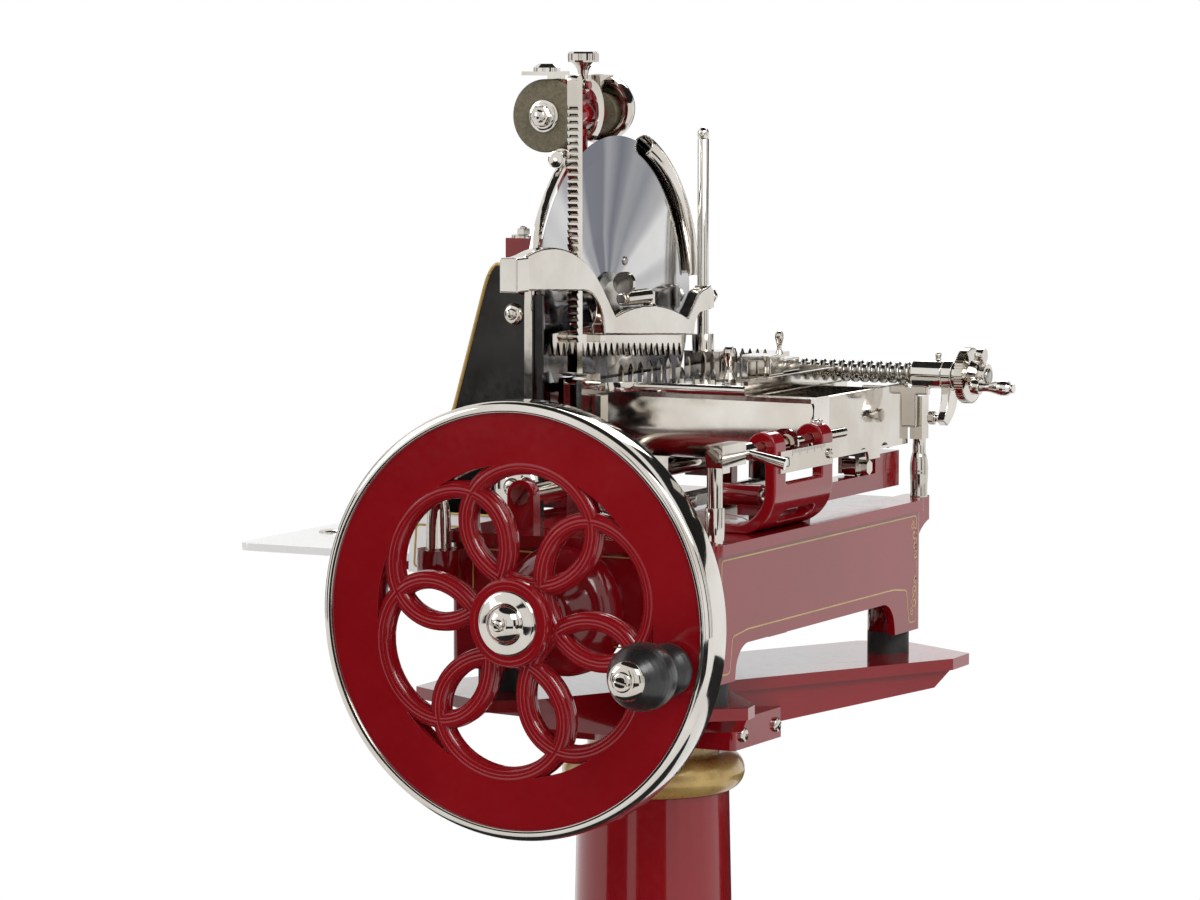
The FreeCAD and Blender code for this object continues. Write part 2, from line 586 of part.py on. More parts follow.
COV_X1 = CAR_X0 - 6.5             # the cover's right edge clears the table
cover_pts = [(COV_X1, DECK_Z + 2), (COV_X1, CASE_TOP - 48), (CASE_R, CASE_TOP - 48)]
cover = outline_xz(COV_Y0, cover_pts + tower_outline(0)[1:]).extrude(V(0, COV_T, 0))
node("knife_cover", cover)
tower = outline_xz(COV_Y0 + COV_T, tower_outline(6)).extrude(V(0, CASE_Y1 - COV_Y0 - COV_T, 0))
FAR_X = CASE_X0 - 108             # a plane well to the left of the casting
side = outline_yz(FAR_X, [(COV_Y0, DECK_Z - 8), (CASE_Y1, DECK_Z - 8), (CASE_Y1 - 8, DECK_Z + 92),
                          (CASE_Y1 - 28, CASE_TOP - 44, "arc"), (CASE_Y1 - 62, CASE_TOP),
                          (COV_Y0, CASE_TOP)]).extrude(V(CASE_R - FAR_X + 20, 0, 0))
tower = tower.common(side)
# pocket behind the knife boss left open to the rear; the casting's foot stands on the deck
tower = tower.cut(box(FAR_X, CASE_X0, TOW_Y0 + 60, CASE_Y1 + 5, DECK_Z + 62, CASE_TOP + 5))
BARREL_R = 40.0
barrel = cx(BARREL_R, CASE_X0, CASE_R, KNIFE_Y, KNIFE_Z)
tower = tower.fuse(barrel)
tower = tower.fuse(box(CASE_R - 25.5, BASE_X0 + 11, TOW_Y0 + 80, CASE_Y1 - 12, DECK_Z, DECK_Z + 22))
tower = tower.cut(cx(KSHAFT_R + RUN, FAR_X, CASE_R + 1, KNIFE_Y, KNIFE_Z))
TOWER_TOP = CASE_TOP + 5
cap_block = box(CASE_R - 57.5, CASE_R, TOW_Y0 + 66, KNIFE_Y + 14, KNIFE_Z + BARREL_R - 8, TOWER_TOP)
tower = tower.fuse(cap_block).cut(cx(KSHAFT_R + RUN, FAR_X, CASE_R + 1, KNIFE_Y, KNIFE_Z))
node("knife_tower", tower.removeSplitter())

# edge guards: flat band in front, half pipe behind
def ring_sector(r_in, r_out, x0, x1, a0, a1):
    """Part of a flat ring round the knife axis; angles from +Z, positive to the rear."""
    r = cx(r_out, x0, x1, KNIFE_Y, KNIFE_Z).cut(cx(r_in, x0 - 1, x1 + 1, KNIFE_Y, KNIFE_Z))
    big = r_out * 3
    pts = [V(x0 - 2, KNIFE_Y, KNIFE_Z)]
    n = 6
    for j in range(n + 1):
        a = rad(a0 + (a1 - a0) * j / n)
        pts.append(V(x0 - 2, KNIFE_Y + big * math.sin(a), KNIFE_Z + big * math.cos(a)))
    w = Part.Face(Part.makePolygon(pts + [pts[0]])).extrude(V(x1 - x0 + 4, 0, 0))
    return r.common(w)


GUARD_X1 = KX + 1.5
gband = ring_sector(GUARD_R - GUARD_T, GUARD_R, GUARD_X1 - GUARD_W, GUARD_X1, -90, -36)
GIN = GUARD_R - GUARD_T / 2
gy = KNIFE_Y - GUARD_R
gband = gband.fuse(box(GUARD_X1 - GUARD_W, GUARD_X1, gy, gy + GUARD_T, KNIFE_Z - 94, KNIFE_Z))
gband = gband.fuse(box(GUARD_X1 - GUARD_W, GUARD_X1, gy, COV_Y0, KNIFE_Z - 94, KNIFE_Z - 82))
pin_a = rad(-34)
gp = (GUARD_X1 - GUARD_W / 2, KNIFE_Y + GIN * math.sin(pin_a), KNIFE_Z + GIN * math.cos(pin_a))
PIPE_CX = KX - 1.0
PIPE_CR = KNIFE_R + 1.0
PA0, PA1 = 22.0, 84.0


def bent_tube(r_tube, a0, a1):
    c = V(PIPE_CX, KNIFE_Y + PIPE_CR * math.sin(rad(a0)), KNIFE_Z + PIPE_CR * math.cos(rad(a0)))
    tang = V(0, math.cos(rad(a0)), -math.sin(rad(a0)))
    w = Part.Wire([Part.makeCircle(r_tube, c, tang)])
    return Part.Face(w).revolve(V(PIPE_CX, KNIFE_Y, KNIFE_Z), V(-1, 0, 0), a1 - a0)


pipe = bent_tube(PIPE_R, PA0, PA1).cut(bent_tube(PIPE_R - PIPE_T, PA0 - 2, PA1 + 2))
slot = cx(PIPE_CR, KX - 6.5, KX + 3.5, KNIFE_Y, KNIFE_Z)
pipe = pipe.cut(slot)
pend = rad(PA1 - 4)
ARM_X = KX - 52.0
pipe_arm = box(ARM_X, PIPE_CX - PIPE_R * 0.5, KNIFE_Y + PIPE_CR * math.sin(pend) - 3,
               KNIFE_Y + PIPE_CR * math.sin(pend) + 3, KNIFE_Z + 10, KNIFE_Z + 34)
pipe_arm = pipe_arm.cut(bent_tube(PIPE_R - PIPE_T / 2, PA0 - 2, PA1 + 2))
pipe_arm = pipe_arm.fuse(
    box(ARM_X, ARM_X + 10, CASE_Y1 - 70, KNIFE_Y + PIPE_CR + 3, KNIFE_Z + 10, KNIFE_Z + 34))
node("rear_guard", pipe.fuse(pipe_arm).cut(tower).removeSplitter())

# ================================================================ sharpener
STONE_X, STONE_Y, STONE_Z = KNIFE_X - 42.0, KNIFE_Y - 77.0, KNIFE_Z + KNIFE_R + 22.0
STONE_R = 38.0
STONE_T = 13.0
SP_R = 7.0            # stone spindle
DOME_R = 36.5
SHP_Y = KNIFE_Y - 16.0    # post that carries the sharpener
SHP_R = 11.0
DOME_Y = SHP_Y + 64.0
DOME_Z = STONE_Z + 5.0
SLEEVE_Z0 = TOWER_TOP + 33.0
SLEEVE_Z1 = STONE_Z - 15.0
BODY_Z1 = STONE_Z + 25.0
KNOB_Y = SHP_Y + 24.0
node("sharpener_post", cz(SHP_R, TOWER_TOP, SLEEVE_Z1 - 15, STONE_X, SHP_Y).fuse(
    cz(19, TOWER_TOP, TOWER_TOP + 12, STONE_X, SHP_Y)))
S0 = STONE_Y + STONE_T
SIY, SIZ = SHP_Y - 14.0, BODY_Z1 + 6.0    # hinge of the trip sickle
SIX = STONE_X + 21 + GAP
body = union([cz(16, SLEEVE_Z0, SLEEVE_Z1, STONE_X, SHP_Y),
              turned([(0, S0 + 9), (15, S0 + 9), (18, S0 + 16), (18, DOME_Y - 24), (15, DOME_Y - 15),
                      (0, DOME_Y - 15)], (STONE_X, 0, STONE_Z), (0, 1, 0)),
              box(STONE_X - 8, STONE_X + 8, SHP_Y - 32, SHP_Y + 38, SLEEVE_Z1, BODY_Z1 - 4),
              box(STONE_X - 8, STONE_X + 8, SIY - 8, SIY + 8, BODY_Z1 - 10, SIZ + 6),
              cz(10, SLEEVE_Z1 + 10, BODY_Z1, STONE_X, KNOB_Y),
              cx(5, STONE_X + 7, SIX - GAP, SIY, SIZ)])
body = body.cut(cz(SHP_R + RUN, SLEEVE_Z0 - 1, SLEEVE_Z1 - 9, STONE_X, SHP_Y))
body = body.cut(cy(SP_R + RUN, S0, DOME_Y, STONE_X, STONE_Z))


def stone(y0, y1, r):
    return turned([(SP_R, y0), (r - 1.5, y0), (r, y0 + 1.5), (r, y1 - 1.5), (r - 1.5, y1), (SP_R, y1)],
                  (STONE_X, 0, STONE_Z), (0, 1, 0))


spin = cy(SP_R, STONE_Y - 5, DOME_Y + 10, STONE_X, STONE_Z)
spin = spin.fuse(cy(15, STONE_Y - 2.5, STONE_Y, STONE_X, STONE_Z))
spin = spin.fuse(hex_nut((STONE_X, STONE_Y - 10, STONE_Z), (0, 1, 0), 17, 7.5))
node("stone_spindle", spin.removeSplitter())
node("stones", Part.makeCompound([stone(STONE_Y, S0, STONE_R), stone(DOME_Y - 6, DOME_Y + 6, 22)]))
d = V(STONE_X, DOME_Y, DOME_Z)
inner = Part.makeSphere(DOME_R - 3.0, d).fuse(cy(DOME_R - 3.0, DOME_Y - 9, DOME_Y, d.x, d.z))
dome = Part.makeSphere(DOME_R, d).common(
    box(d.x - 100, d.x + 100, DOME_Y, DOME_Y + 100, d.z - 100, d.z + 100)).fuse(
    cy(DOME_R, DOME_Y - 8, DOME_Y, d.x, d.z)).cut(inner)
hanger = box(STONE_X - 14, STONE_X + 14, SHP_Y + 38, SHP_Y + 44, BODY_Z1 - 8, DOME_Z + DOME_R - 1).fuse(
    box(STONE_X - 14, STONE_X + 14, SHP_Y + 38, DOME_Y + 2, DOME_Z + DOME_R - 6, DOME_Z + DOME_R - 1)).cut(inner)
dome = dome.fuse(hanger)
CAP_Z = STONE_Z + STONE_R + 4
capp = box(STONE_X - 7, STONE_X + 9, SHP_Y - 42, SHP_Y - 32, BODY_Z1 - 14, CAP_Z + 4).fuse(
    box(STONE_X - 20, STONE_X + 14, SHP_Y - 74, SHP_Y - 32, CAP_Z, CAP_Z + 4)).fuse(
    turned([(0, CAP_Z + 4), (14, CAP_Z + 4), (14, CAP_Z + 8), (9, CAP_Z + 12),
            (0, CAP_Z + 12)], (STONE_X + 1, SHP_Y - 58, 0), (0, 0, 1)))
node("hoods", Part.makeCompound([dome.removeSplitter(), capp.removeSplitter()]))
K0 = BODY_Z1 + GAP
knob = smooth_turned([(6, 0), (4.5, 9), (6, 20), (13, 29)], (STONE_X, KNOB_Y, K0), (0, 0, 1))
knob = knob.fuse(turned([(0, K0 + 29), (16, K0 + 29), (16.5, K0 + 31), (16.5, K0 + 38), (15, K0 + 40),
                         (0, K0 + 40)], (STONE_X, KNOB_Y, 0), (0, 0, 1)))
node("sharpener_knob", knob.removeSplitter())
sick = outline_yz(SIX, [(SIY - 4, SIZ + 5), (SIY + 37, SIZ - 28, "arc"), (SIY + 9, SIZ - 58),
                        (SIY + 5, SIZ - 54), (SIY + 25, SIZ - 30, "arc"), (SIY - 5, SIZ - 3)]
                  ).extrude(V(4, 0, 0)).fuse(cx(6.5, SIX, SIX + 4, SIY, SIZ))
node("trip_sickle", sick.cut(cx(2.6, SIX - 1, SIX + 5, SIY, SIZ)))
body = body.fuse(cx(2.54, SIX - 3, SIX + 5, SIY, SIZ)).fuse(cx(4.5, SIX + 4 + GAP, SIX + 7, SIY, SIZ))
node("sharpener_body", body.cut(capp).removeSplitter())

# ================================================================ front guard pin
pinn = turned([(0, 0), (4, 0), (4, 6), (11, 6), (11, 9), (4.5, 9), (4.5, 15), (9, 17), (9, 21), (0, 22)],
              (gp[0], gp[1] - 2, gp[2] + 1), (0, -1, 0))
node("front_guard", gband.fuse(pinn).removeSplitter())

# ================================================================ carriage
W = CAR_W
CX0, CX1 = CAR_X0, CAR_X1
TRAY_X = TAB_X1 - 6               # inner wall between the slide casting and the tray
# the front casting: a lip, a cove below it and a bulging roll that turns under
roll_out = [(CAR_Y0 + 20, CAR_Z1), (CAR_Y0, CAR_Z1), (CAR_Y0, CAR_Z1 - 5),
            (CAR_Y0 + 4, CAR_Z1 - 10, "arc"), (CAR_Y0 + 3, CAR_Z1 - 18),
            (CAR_Y0 - 7, CAR_Z0 + 26, "arc"), (CAR_Y0 + 5, CAR_Z0 + 9),
            (CAR_Y0 + 20, CAR_Z0 + 1.5, "arc"), (CAR_Y0 + 44, CAR_Z0)]
roll_in = [(CAR_Y0 + 44, CAR_Z0 + W), (CAR_Y0 + 22, CAR_Z0 + W + 2, "arc"), (CAR_Y0 + 11, CAR_Z0 + 12),
           (CAR_Y0 - 2, CAR_Z0 + 27, "arc"), (CAR_Y0 + 10, CAR_Z1 - 18), (CAR_Y0 + 12, CAR_Z1 - 6),
           (CAR_Y0 + 20, CAR_Z1 - 6)]
front = outline_yz(CX0, roll_out + roll_in).extrude(V(CX1 - CX0, 0, 0))
end_face = roll_out + [(CAR_Y0 + 44, CAR_Z1)]
left_end = outline_yz(CX0, end_face).extrude(V(W, 0, 0))
right_end = outline_yz(CX1 - W, end_face).extrude(V(W, 0, 0))
slide = union([
    front, left_end, right_end,
    box(CX0, CX0 + W, CAR_Y0 + 40, CAR_Y1, CAR_Z0, CAR_Z1),
    box(TRAY_X, TRAY_X + W, CAR_Y0 + 16, CAR_Y1, CAR_Z0, CAR_Z1),
    box(CX0, TRAY_X + W, CAR_Y1 - W, CAR_Y1, CAR_Z0, CAR_Z1),
    box(CX0, TRAY_X + W, CAR_Y0 + 16, CAR_Y1, CAR_Z1 - 6, CAR_Z1),
    box(CX0, TRAY_X, CAR_Y0 + 118, CAR_Y0 + 118 + W, CAR_Z0, CAR_Z1)])
# bored blocks that ride on the guide rod, and the pin boss of the connecting rod
for y0 in (CAR_Y0 + 22, CAR_Y1 - 64):
    slide = slide.fuse(box(RAIL_X - 17, RAIL_X + 17, y0, y0 + 40, GUIDE_Z - 16, CAR_Z1 - 6))
slide = slide.cut(cy(RAIL_R + RUN, CAR_Y0, CAR_Y1 + 1, RAIL_X, GUIDE_Z))
slide = slide.fuse(cz(20, ROD_Z1 + GAP, CAR_Z1 - 6, 0, CAR_PIN_Y))
slide = slide.cut(cz(PIN_R, ROD_Z1 - 2, CAR_Z0 + 20, 0, CAR_PIN_Y))
slide = slide.fuse(cz(PIN_R, ROD_Z0 - 3, CAR_Z0 + 20, 0, CAR_PIN_Y))
lbrg = box(CAR_X0, SCREW_X0 - 2, CAR_Y1 - 1, SCREW_Y + 12, CAR_Z0 + 42, CAR_Z1 - 2).fuse(
    cx(13, CAR_X0, SCREW_X0 - 2, SCREW_Y, SCREW_Z))
slide = slide.fuse(lbrg).cut(cx(SCREW_CORE + RUN, CAR_X0 - 1, SCREW_X0 - 1, SCREW_Y, SCREW_Z))
node("carriage", slide.removeSplitter())

# tray to the right of the slide casting
TW = 3.0
TY0 = CAR_Y0 + 44
TZ1 = CAR_Z1 - 1
lug_pts = [(TY0, TZ1), (CAR_Y1 + 7, TZ1), (CAR_Y1 + 7, CAR_Z0 + 6), (ROLLER_Y + 44, CAR_Z0 + 2),
           (ROLLER_Y + 34, CAR_Z0 + 9, "arc"), (ROLLER_Y + 22, CAR_Z0 - 6),
           (ROLLER_Y - 6, CAR_Z0 - 6), (ROLLER_Y - 14, CAR_Z0 + 6, "arc"),
           (ROLLER_Y - 30, CAR_Z0 + 3), (TY0, CAR_Z0 + 3)]
TX0 = TRAY_X + W
tray = union([
    outline_yz(CX1 - TW, lug_pts).extrude(V(TW, 0, 0)),
    box(TX0, TX0 + TW, TY0, CAR_Y1 + 7, CAR_Z0 + 3, TZ1),
    box(TX0, CX1, CAR_Y1 + 4, CAR_Y1 + 7, CAR_Z0 + 6, TZ1 - 6),
    box(TX0, CX1, TY0, CAR_Y1 + 7, CAR_Z0 + 3, CAR_Z0 + 6),
    cy(4.5, TY0, CAR_Y1 + 4, CX1 - 4.5, TZ1 - 4.0)])
# grille standing on the tray's floor
GZ = CAR_Z1 - 22
bars = [box(TX0 + TW, CX1 - TW, TY0 + 6 + 13.5 * i, TY0 + 9 + 13.5 * i, GZ, GZ + 4) for i in range(14)]
bars.append(box(TX0 + TW, TX0 + TW + 4, TY0 + 2, CAR_Y1 + 2, GZ, GZ + 4))
bars.append(box(CX1 - TW - 4, CX1 - TW, TY0 + 2, CAR_Y1 + 2, GZ, GZ + 4))
node("tray_grille", union(bars))
# roller under the tray
ROLLER_Z = TRACK_Z1 + 0.3 + ROLLER_R
fork = box(TRACK_X - 12, TRACK_X - 8, ROLLER_Y - 9, ROLLER_Y + 9, ROLLER_Z - 7, CAR_Z0 + 3).fuse(
    box(TRACK_X + 8, TRACK_X + 12, ROLLER_Y - 9, ROLLER_Y + 9, ROLLER_Z - 7, CAR_Z0 + 3)).fuse(
    box(TRACK_X - 12, CX1 - TW, ROLLER_Y - 9, ROLLER_Y + 9, CAR_Z0 - 3, CAR_Z0 + 3))
fork = fork.cut(cx(4, TRACK_X - 20, TRACK_X + 20, ROLLER_Y, ROLLER_Z))
axle = cx(4, TRACK_X - 12, TRACK_X + 12, ROLLER_Y, ROLLER_Z).fuse(
    hex_nut((TRACK_X + 12, ROLLER_Y, ROLLER_Z), (1, 0, 0), 14, 8))
node("tray", tray.fuse(fork).fuse(axle).removeSplitter())
node("roller", cx(ROLLER_R, TRACK_X - 8 + GAP, TRACK_X + 8 - GAP, ROLLER_Y, ROLLER_Z).cut(
    cx(4 + RUN, TRACK_X - 9, TRACK_X + 9, ROLLER_Y, ROLLER_Z)))

# guide rod and track on the deck
guide = cy(RAIL_R, GY0, GY1, RAIL_X, GUIDE_Z)
node("guide_rod", guide)
TRK_Y0, TRK_Y1 = CAR_Y0 - 100.0, BASE_Y1 + 3.0
hx = TRACK_W / 2
track = union([box(TRACK_X - hx, TRACK_X + hx, TRK_Y0, TRK_Y1, TRACK_Z0, TRACK_Z1),
               box(TRACK_X - hx, TRACK_X + hx, TRK_Y0 + 26, TRK_Y0 + 120, DECK_Z, TRACK_Z0),
               box(TRACK_X - hx, TRACK_X + hx, ROLLER_Y + 32, TRK_Y1, TRACK_Z1, CAR_Z0 - 4.5),
               cx(11, TRACK_X - 38, TRACK_X + 13, TRK_Y0 + 6, TRACK_Z1 + 2)])
track = track.cut(box(TRACK_X - 3, TRACK_X + 3, TRK_Y0 + 130, TRK_Y1 - 20, TRACK_Z0 - 1, TRACK_Z0 + 3))
node("track", track.removeSplitter())

# ================================================================ meat table
TAB_Y0, TAB_Y1 = CAR_Y0 - 3, CAR_Y1 - 2
TAB_X0 = CAR_X0 - 5.0
table = union([
    outline_yz(TAB_X0, [(TAB_Y0, TAB_Z0), (TAB_Y0 - TAB_T / 2, TAB_Z0 + TAB_T / 2, "arc"), (TAB_Y0, TAB_Z1),
                        (TAB_Y1, TAB_Z1), (TAB_Y1, TAB_Z0)]).extrude(V(TAB_X1 - TAB_X0, 0, 0)),
    outline_xy(TAB_Z0, [(TAB_X0, TAB_Y0), (TAB_X0, RACK_Y - 12), (POST_X + 16, RACK_Y - 12),
                        (POST_X + 16, TAB_Y0 - 26), (POST_X + 34, TAB_Y0 - 8, "arc"),
                        (POST_X + 62, TAB_Y0)]).extrude(V(0, 0, TAB_T)),
    box(TAB_X0, POST_X + 16, RACK_Y - 12, RACK_Y + 14, TAB_Z0 - 14, TAB_Z0),
    box(POST_X + 10, POST_X + 32, RACK_Y - 4, RACK_Y + 12, TAB_Z0 - 36, TAB_Z0)])
h = RACK_W / 2
rack_hole = box(POST_X - h, POST_X + h, RACK_Y - h, RACK_Y + h, TAB_Z0 - 20, TAB_Z1 + 20)
# frame shaped opening in the right part of the table, over the tray
table = table.cut(box(TAB_X1 - 62, TAB_X1 - 8, TAB_Y0 + 34, TAB_Y1 - 14, TAB_Z0 + 4, TAB_Z1 + 1))
rim = box(TAB_X1 - 5, TAB_X1, TAB_Y0 + 4, TAB_Y1 - 4, TAB_Z1, TAB_Z1 + 5)
rim = rim.fuse(box(TAB_X1 - 66, TAB_X1, TAB_Y1 - 9, TAB_Y1 - 4, TAB_Z1, TAB_Z1 + 5))
table = table.fuse(rim)
NUT_X = CAR_X0 + 71.0
nutb = box(NUT_X - 18, NUT_X + 18, TAB_Y1 - 14, SCREW_Y + 17, TAB_Z1, SCREW_Z + 17)
nutb = nutb.fuse(cx(17, NUT_X - 18, NUT_X + 18, SCREW_Y, SCREW_Z))
table = table.fuse(nutb.cut(box(NUT_X - 20, NUT_X + 20, TAB_Y0, CAR_Y1 + GAP, SCREW_Z - 40, TAB_Z1)))
table = table.cut(cx(SCREW_R + RUN, NUT_X - 30, NUT_X + 30, SCREW_Y, SCREW_Z))
node("meat_table", table.cut(rack_hole).removeSplitter())

rack = box(POST_X - h, POST_X + h, RACK_Y - h, RACK_Y + h, TAB_Z0 - 36, RACK_Z1 - h)
rack = rack.fuse(cx(h, POST_X - h, POST_X + h, RACK_Y, RACK_Z1 - h))
nt = int((RACK_Z1 - 26 - (TAB_Z1 + 44)) / TOOTH)
cuts = []
for i in range(nt):
    z = TAB_Z1 + 44 + i * TOOTH
    tri = outline_yz(POST_X - h - 1, [(RACK_Y - h - 1, z), (RACK_Y - h + TOOTH_D, z),
                                      (RACK_Y - h - 1, z + TOOTH * 0.92)])
    cuts.append(tri.extrude(V(2 * h + 2, 0, 0)))
rack = rack.cut(Part.makeCompound(cuts))
node("rack_post", rack)
rack_bracket = union([
    box(POST_X - 9, POST_X + 22, RACK_Y - 12, RACK_Y + 14, TAB_Z1, TAB_Z1 + 12),
    box(POST_X - 9, POST_X - 3, RACK_Y - 19, RACK_Y - 12.5, TAB_Z0 - 30, TAB_Z1 + 7),
    box(POST_X + 12, POST_X + 18, RACK_Y - 19, RACK_Y - 12.5, TAB_Z0 - 30, TAB_Z1 + 7),
    cx(6, POST_X - 9, POST_X + 22, RACK_Y - 12, TAB_Z1 + 7)]).cut(rack_hole)
PB_Z1 = TAB_Z1 + 17
post_block = box(TAB_X0 - 2, POST_X + 31, TAB_Y1 - 27, TAB_Y1, TAB_Z1, PB_Z1).fuse(
    cz(12, PB_Z1, PB_Z1 + 17, POST_X, RPOST_Y)).cut(cz(RPOST_R, TAB_Z1, PB_Z1 + 20, POST_X, RPOST_Y))
node("post_sockets", Part.makeCompound([rack_bracket, post_block]))
post = cz(RPOST_R, TAB_Z1, RPOST_Z1 - RPOST_R, POST_X, RPOST_Y).fuse(
    Part.makeSphere(RPOST_R, V(POST_X, RPOST_Y, RPOST_Z1 - RPOST_R)))
node("round_post", post.removeSplitter())
# spiked rail along the rear of the table and a row of single spikes
SP_X1 = TAB_X1 - 70
spikes = [box(TAB_X0 + 41, SP_X1, TAB_Y1 - 24, TAB_Y1 - 15, TAB_Z1, TAB_Z1 + 6)]


def spike(x, y, z, hh):
    """Flat pointed spike standing on (x, y, z)."""
    return outline_xz(y - 1.5, [(x - 2.6, z), (x + 2.6, z), (x + 2.2, z + hh * 0.6), (x, z + hh),
                                (x - 2.2, z + hh * 0.6)]).extrude(V(0, 3, 0))


for i in range(6):
    spikes.append(spike(TAB_X0 + 46 + i * 9.0, TAB_Y1 - 19, TAB_Z1 + 6, 15))
spk = [spike(POST_X + 3, CAR_Y0 + 30 + 22 * i, TAB_Z1, 14) for i in range(8)]
spk += [spike(TAB_X0 + 86 + 18 * i, CAR_Y0 + 26, TAB_Z1, 14) for i in range(3)]
node("spikes", Part.makeCompound([union(spikes)] + spk))


def bottle(x, y, z, k):
    s = smooth_turned([(7 * k, 0), (6 * k, 5 * k), (3.4 * k, 12 * k), (5.4 * k, 24 * k),
                       (6.6 * k, 31 * k), (4.6 * k, 36.5 * k), (0, 38 * k)], (x, y, z), (0, 0, 1))
    return s.fuse(cz(7.4 * k, z, z + 4 * k, x, y))


EC_X, EC_Y = TAB_X1 - 25.0, CAR_Y0 + 86.0
node("end_clamp", union([
    box(EC_X - 17, EC_X + 17, EC_Y - 16, EC_Y + 16, TAB_Z1, TAB_Z1 + 26),
    box(EC_X - 13, EC_X + 13, EC_Y + 16, EC_Y + 62, TAB_Z1, TAB_Z1 + 20)]).cut(
    box(EC_X - 9, EC_X + 9, EC_Y - 24, EC_Y + 6, TAB_Z1 - 1, TAB_Z1 + 20)))
node("bottle_lever_a", bottle(EC_X - 9, EC_Y - 60, TAB_Z1 + GAP, 1.0))
node("bottle_lever_b", bottle(EC_X, EC_Y + 40, TAB_Z1 + 20 + GAP, 0.72))

# ================================================================ feed screw and ratchet
JR = SCREW_CORE
CZH = SCREW_Z
plate = box(TRAY_X + 24, ADJ_X - ADJ_R - 3, CAR_Y1 + 7, CAR_Y1 + 13, CAR_Z0 + 20, CZH - 14).fuse(
    box(HOUSE_X0, HOUSE_X1 - 17, CAR_Y1 + 7, SCREW_Y, CZH - 22, CZH - 6))
house = plate.fuse(cx(HOUSE_R, HOUSE_X0, HOUSE_X1, SCREW_Y, CZH))
house = house.fuse(cz(3, CZH + HOUSE_R - 1, CZH + HOUSE_R + 4, HOUSE_X1 - 8, SCREW_Y)).fuse(
    Part.makeSphere(3.6, V(HOUSE_X1 - 8, SCREW_Y, CZH + HOUSE_R + 5)))
house = house.cut(cx(JR + RUN, HOUSE_X0 - 1, HOUSE_X1 + 1, SCREW_Y, CZH))
node("screw_housing", house.removeSplitter())
LB0 = CX0
DX0 = HOUSE_X1 + GAP + 12 + GAP
screw = union([cx(JR, LB0 - 3, DX0 + 38, SCREW_Y, CZH), cx(SCREW_R, SCREW_X0, HOUSE_X0 - GAP, SCREW_Y, CZH)])
node("feed_screw", screw)
hub_r = turned([(JR, DX0), (14, DX0), (14, DX0 + 8), (RATCH_R, DX0 + 9), (RATCH_R, DX0 + 9 + RATCH_T),
                (18, DX0 + 11 + RATCH_T), (13, DX0 + 18 + RATCH_T), (JR, DX0 + 18 + RATCH_T)],
               (0, SCREW_Y, CZH), (1, 0, 0))
notch = []
for i in range(RATCH_N):
    a = 2 * math.pi * i / RATCH_N
    b = box(DX0 + 8, DX0 + 10 + RATCH_T, -0.7, 0.7, RATCH_R - 2.0, RATCH_R + 1)
    b.rotate(V(0, 0, 0), V(1, 0, 0), math.degrees(a))
    b.translate(V(0, SCREW_Y, CZH))
    notch.append(b)
node("ratchet_disc", hub_r.cut(Part.makeCompound(notch)))
AX0 = DX0 + 18 + RATCH_T
AX1 = AX0 + 9
HY, HZ = SCREW_Y - 20, CZH - 10
crank = union([cx(13, AX0, AX1, SCREW_Y, CZH), cx(8, AX0, AX1, HY, HZ),
               cx(7.5, AX0, AX1, SCREW_Y - 8, CZH + 22),
               bar((AX0 + 4.5, SCREW_Y, CZH), (AX0 + 4.5, HY, HZ), 4.4),
               bar((AX0 + 4.5, SCREW_Y, CZH), (AX0 + 4.5, SCREW_Y - 8, CZH + 22), 4.4)])
crank = crank.cut(cx(JR, AX0 - 1, AX1 + 1, SCREW_Y, CZH)).cut(cx(3.2, AX0 - 1, AX1 + 1, HY, HZ))
HL = 34.0
node("feed_crank", crank.fuse(cx(3.2, AX0, AX1 + 1 + HL + 1, HY, HZ)).fuse(
    cx(5, AX1 + 1 + HL + GAP, AX1 + HL + 4, HY, HZ)).removeSplitter())
hand = smooth_turned([(5, 0), (4.4, 4), (5.2, 12), (7.8, 22), (8, 28), (5.4, HL)],
                     (AX1 + 0.6, HY, HZ), (1, 0, 0))
node("feed_handle", hand.cut(cx(3.2 + RUN, AX1, AX1 + HL + 5, HY, HZ)))
PX0 = HOUSE_X1 + GAP
pawl = cx(16, PX0, PX0 + 12, SCREW_Y, CZH)
arm_pts = [(SCREW_Y - 15, CZH + 2), (SCREW_Y + 15, CZH + 2), (SCREW_Y + 14, CZH - 20),
           (SCREW_Y + 4, CZH - 40, "arc"), (SCREW_Y - 14, CZH - 53), (SCREW_Y - 24, CZH - 47),
           (SCREW_Y - 14, CZH - 30, "arc")]
pawl = pawl.fuse(outline_yz(PX0, arm_pts).extrude(V(9, 0, 0)))
pawl = pawl.cut(cx(JR + RUN, PX0 - 1, PX0 + 13, SCREW_Y, CZH))
pawl = pawl.fuse(cx(4, PX0 - 12, PX0 + 1, SCREW_Y - 15, CZH - 45)).fuse(
    hex_nut((PX0 - 12, SCREW_Y - 15, CZH - 45), (1, 0, 0), 13, 7))
node("pawl_arm", pawl.removeSplitter())

# ================================================================ meat clamp
YX0 = POST_X - RACK_W / 2 - GAP
YX1 = YX0 + YOKE_T
CLAMP_Z = TAB_Z1 + 75.5           # level of the clamp's collar on the round post
